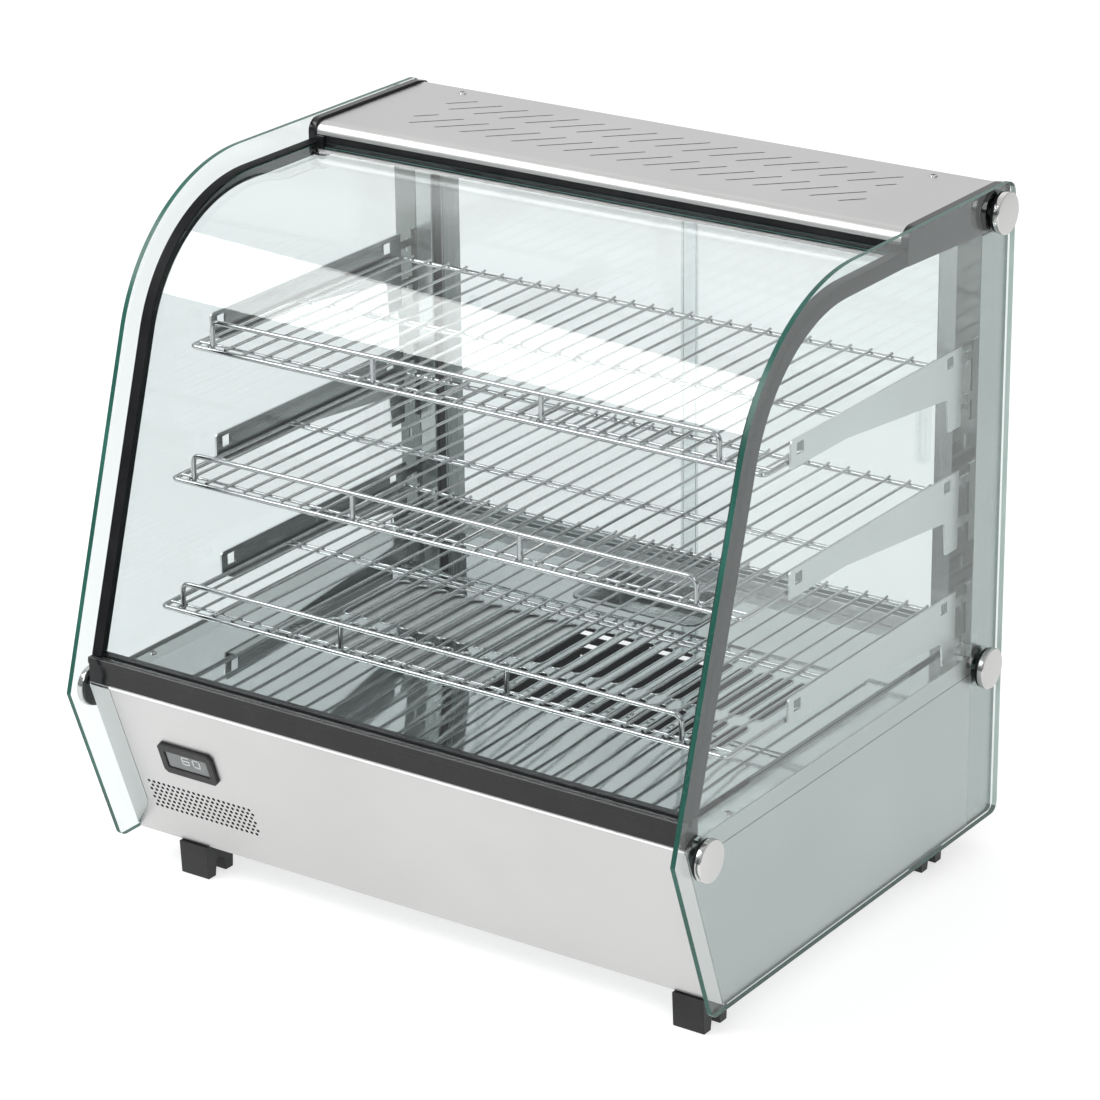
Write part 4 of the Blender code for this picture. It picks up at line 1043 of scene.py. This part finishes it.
for side_name, sign in SIDES.items():
    make_side_glass(side_name, sign)
    make_front_seal(side_name, sign)
    make_post(side_name, sign)
    make_rim(side_name, sign)
    make_head_trim(side_name, sign)
    for cap_place in CAP_PLACES:
        make_cap(cap_place, side_name, sign)
    for level in (1, 2, 3):
        make_arm(level, side_name, sign)
    for end_name in ("front", "rear"):
        make_foot(f"foot_{end_name}_{side_name}")
make_front_glass()
make_front_rail()
make_front_panel()
make_display()
make_deck()
for level in (1, 2, 3):
    make_shelf(level)
make_top_panel()
make_doors()
make_pointer()
make_lamp()
for cad_node, cad_finish, cad_slot, cad_body in (
    ("base_shell", STEEL_BACK, "stainless_steel", BODY),
    ("rear_panel", STEEL, "stainless_steel", BODY),
    ("ceiling_panel", STEEL, "stainless_steel", BODY),
    ("door_track_bottom", TRACK_STEEL, "stainless_steel", BODY),
    ("water_tray", TRAY_STEEL, "stainless_steel", "water_tray"),
    ("heat_shield", ZINC, "galvanised_steel", BODY),
    ("fan_motor", ZINC, "galvanised_steel", BODY),
    ("fan_impeller", ZINC, "galvanised_steel", "fan_impeller"),
    ("thermostat_body", ZINC, "galvanised_steel", BODY),
    ("cable_gland", BLACK, "black_plastic", BODY),
    ("thermostat_knob", BLACK, "black_plastic", "thermostat_knob"),
    ("switch_housing", BLACK, "black_plastic", BODY),
    ("power_rocker", BLACK_GLOSS, "black_plastic", "power_rocker"),
    ("front_top_seal", RUBBER, "black_rubber", BODY),
    ("lamp_rocker", BLACK_GLOSS, "black_plastic", "lamp_rocker"),
):
    refined(cad_node, cad_finish, cad_slot, cad_body)
refined("heater_element", HEATER, "heater_tube", bevel=0.0)


# Stage, light and camera
def make_stage():
    mesh = bpy.data.meshes.new("floor")
    bm = bmesh.new()
    bmesh.ops.create_grid(bm, x_segments=1, y_segments=1, size=30)
    bm.to_mesh(mesh)
    bm.free()
    floor = bpy.data.objects.new("floor", mesh)
    floor.location = (0, 0, -0.0002)
    finish = Finish("pale_floor").set(Emission_Strength=0.62, Emission_Color=(1.0, 1.0, 1.0))
    finish.tint(finish.noise(0.6, detail=2.0), (0.49, 0.49, 0.49), (0.50, 0.50, 0.50))
    finish.roughness(finish.noise(40.0), 0.85, 0.95)
    finish.bump(finish.noise(300.0, detail=2.0), 0.02, 0.0002)
    mesh.materials.append(finish.made)
    bpy.context.scene.collection.objects.link(floor)


def make_light(name, place, target, size, power):
    lamp = bpy.data.lights.new(name, "AREA")
    lamp.shape = "RECTANGLE"
    lamp.size, lamp.size_y = size
    lamp.energy = power
    made = bpy.data.objects.new(name, lamp)
    made.location = place
    made.rotation_euler = (Vector(target) - Vector(place)).to_track_quat("-Z", "Y").to_euler()
    bpy.context.scene.collection.objects.link(made)
    return made


def make_world():
    """Bright overhead, greyer towards the horizon, with a soft glow behind the case."""
    world = bpy.data.worlds.new("studio")
    bpy.context.scene.world = world
    world.use_nodes = True
    tree = world.node_tree
    place = tree.nodes.new("ShaderNodeTexCoord").outputs["Generated"]
    split = tree.nodes.new("ShaderNodeSeparateXYZ")
    ramp = tree.nodes.new("ShaderNodeValToRGB")
    stops = ramp.color_ramp.elements
    stops[0].position, stops[0].color = 0.0, (0.20, 0.205, 0.21, 1)
    stops[1].position, stops[1].color = 0.85, (0.80, 0.80, 0.80, 1)
    middle = stops.new(0.30)
    middle.color = (0.42, 0.425, 0.43, 1)
    tree.links.new(place, split.inputs["Vector"])
    tree.links.new(split.outputs["Z"], ramp.inputs["Fac"])
    towards = tree.nodes.new("ShaderNodeVectorMath")
    towards.operation = "DOT_PRODUCT"
    towards.inputs[1].default_value = Vector((-0.55, 0.75, 0.37)).normalized()
    tree.links.new(place, towards.inputs[0])
    glow = tree.nodes.new("ShaderNodeMapRange")
    glow.interpolation_type = "SMOOTHSTEP"
    glow.inputs["From Min"].default_value = 0.45
    glow.inputs["From Max"].default_value = 1.0
    glow.inputs["To Max"].default_value = 0.50
    tree.links.new(towards.outputs["Value"], glow.inputs["Value"])
    total = tree.nodes.new("ShaderNodeVectorMath")
    total.operation = "ADD"
    tree.links.new(ramp.outputs["Color"], total.inputs[0])
    tree.links.new(glow.outputs["Result"], total.inputs[1])
    tree.links.new(total.outputs["Vector"], tree.nodes["Background"].inputs["Color"])
    tree.nodes["Background"].inputs["Strength"].default_value = 1.0


def make_camera():
    """Placed by azimuth, elevation and roll, with the lens that fits the case's perspective."""
    azimuth, elevation, roll = math.radians(34.853), math.radians(21.752), math.radians(-0.701)
    flat = math.cos(elevation)
    forward = Vector((-math.sin(azimuth) * flat, math.cos(azimuth) * flat, -math.sin(elevation)))
    level = forward.cross(Vector((0, 0, 1))).normalized()
    upright = level.cross(forward)
    right = level * math.cos(roll) + upright * math.sin(roll)
    up = upright * math.cos(roll) - level * math.sin(roll)
    lens = bpy.data.cameras.new("camera")
    lens.sensor_width = 36.0
    lens.lens = 134.3
    lens.clip_start, lens.clip_end = 0.05, 100
    camera = bpy.data.objects.new("camera", lens)
    turn = Matrix((right, up, -forward)).transposed().to_4x4()
    camera.matrix_world = Matrix.Translation((2.0435, -2.9133, 1.7470)) @ turn
    bpy.context.scene.collection.objects.link(camera)
    bpy.context.scene.camera = camera


make_stage()
make_world()
make_camera()
make_light("key_softbox", (-1.35, -1.31, 2.08), (-0.30, -0.13, 0.58), (2.0, 1.22), 42)
make_light("fill", (2.0, -2.4, 2.4), (0.2, -0.6, 0.0), (2.0, 2.0), 40)
bpy.context.scene.view_settings.view_transform = "Standard"
bpy.context.scene.cycles.transparent_max_bounces = 24
bpy.context.scene.cycles.max_bounces = 10
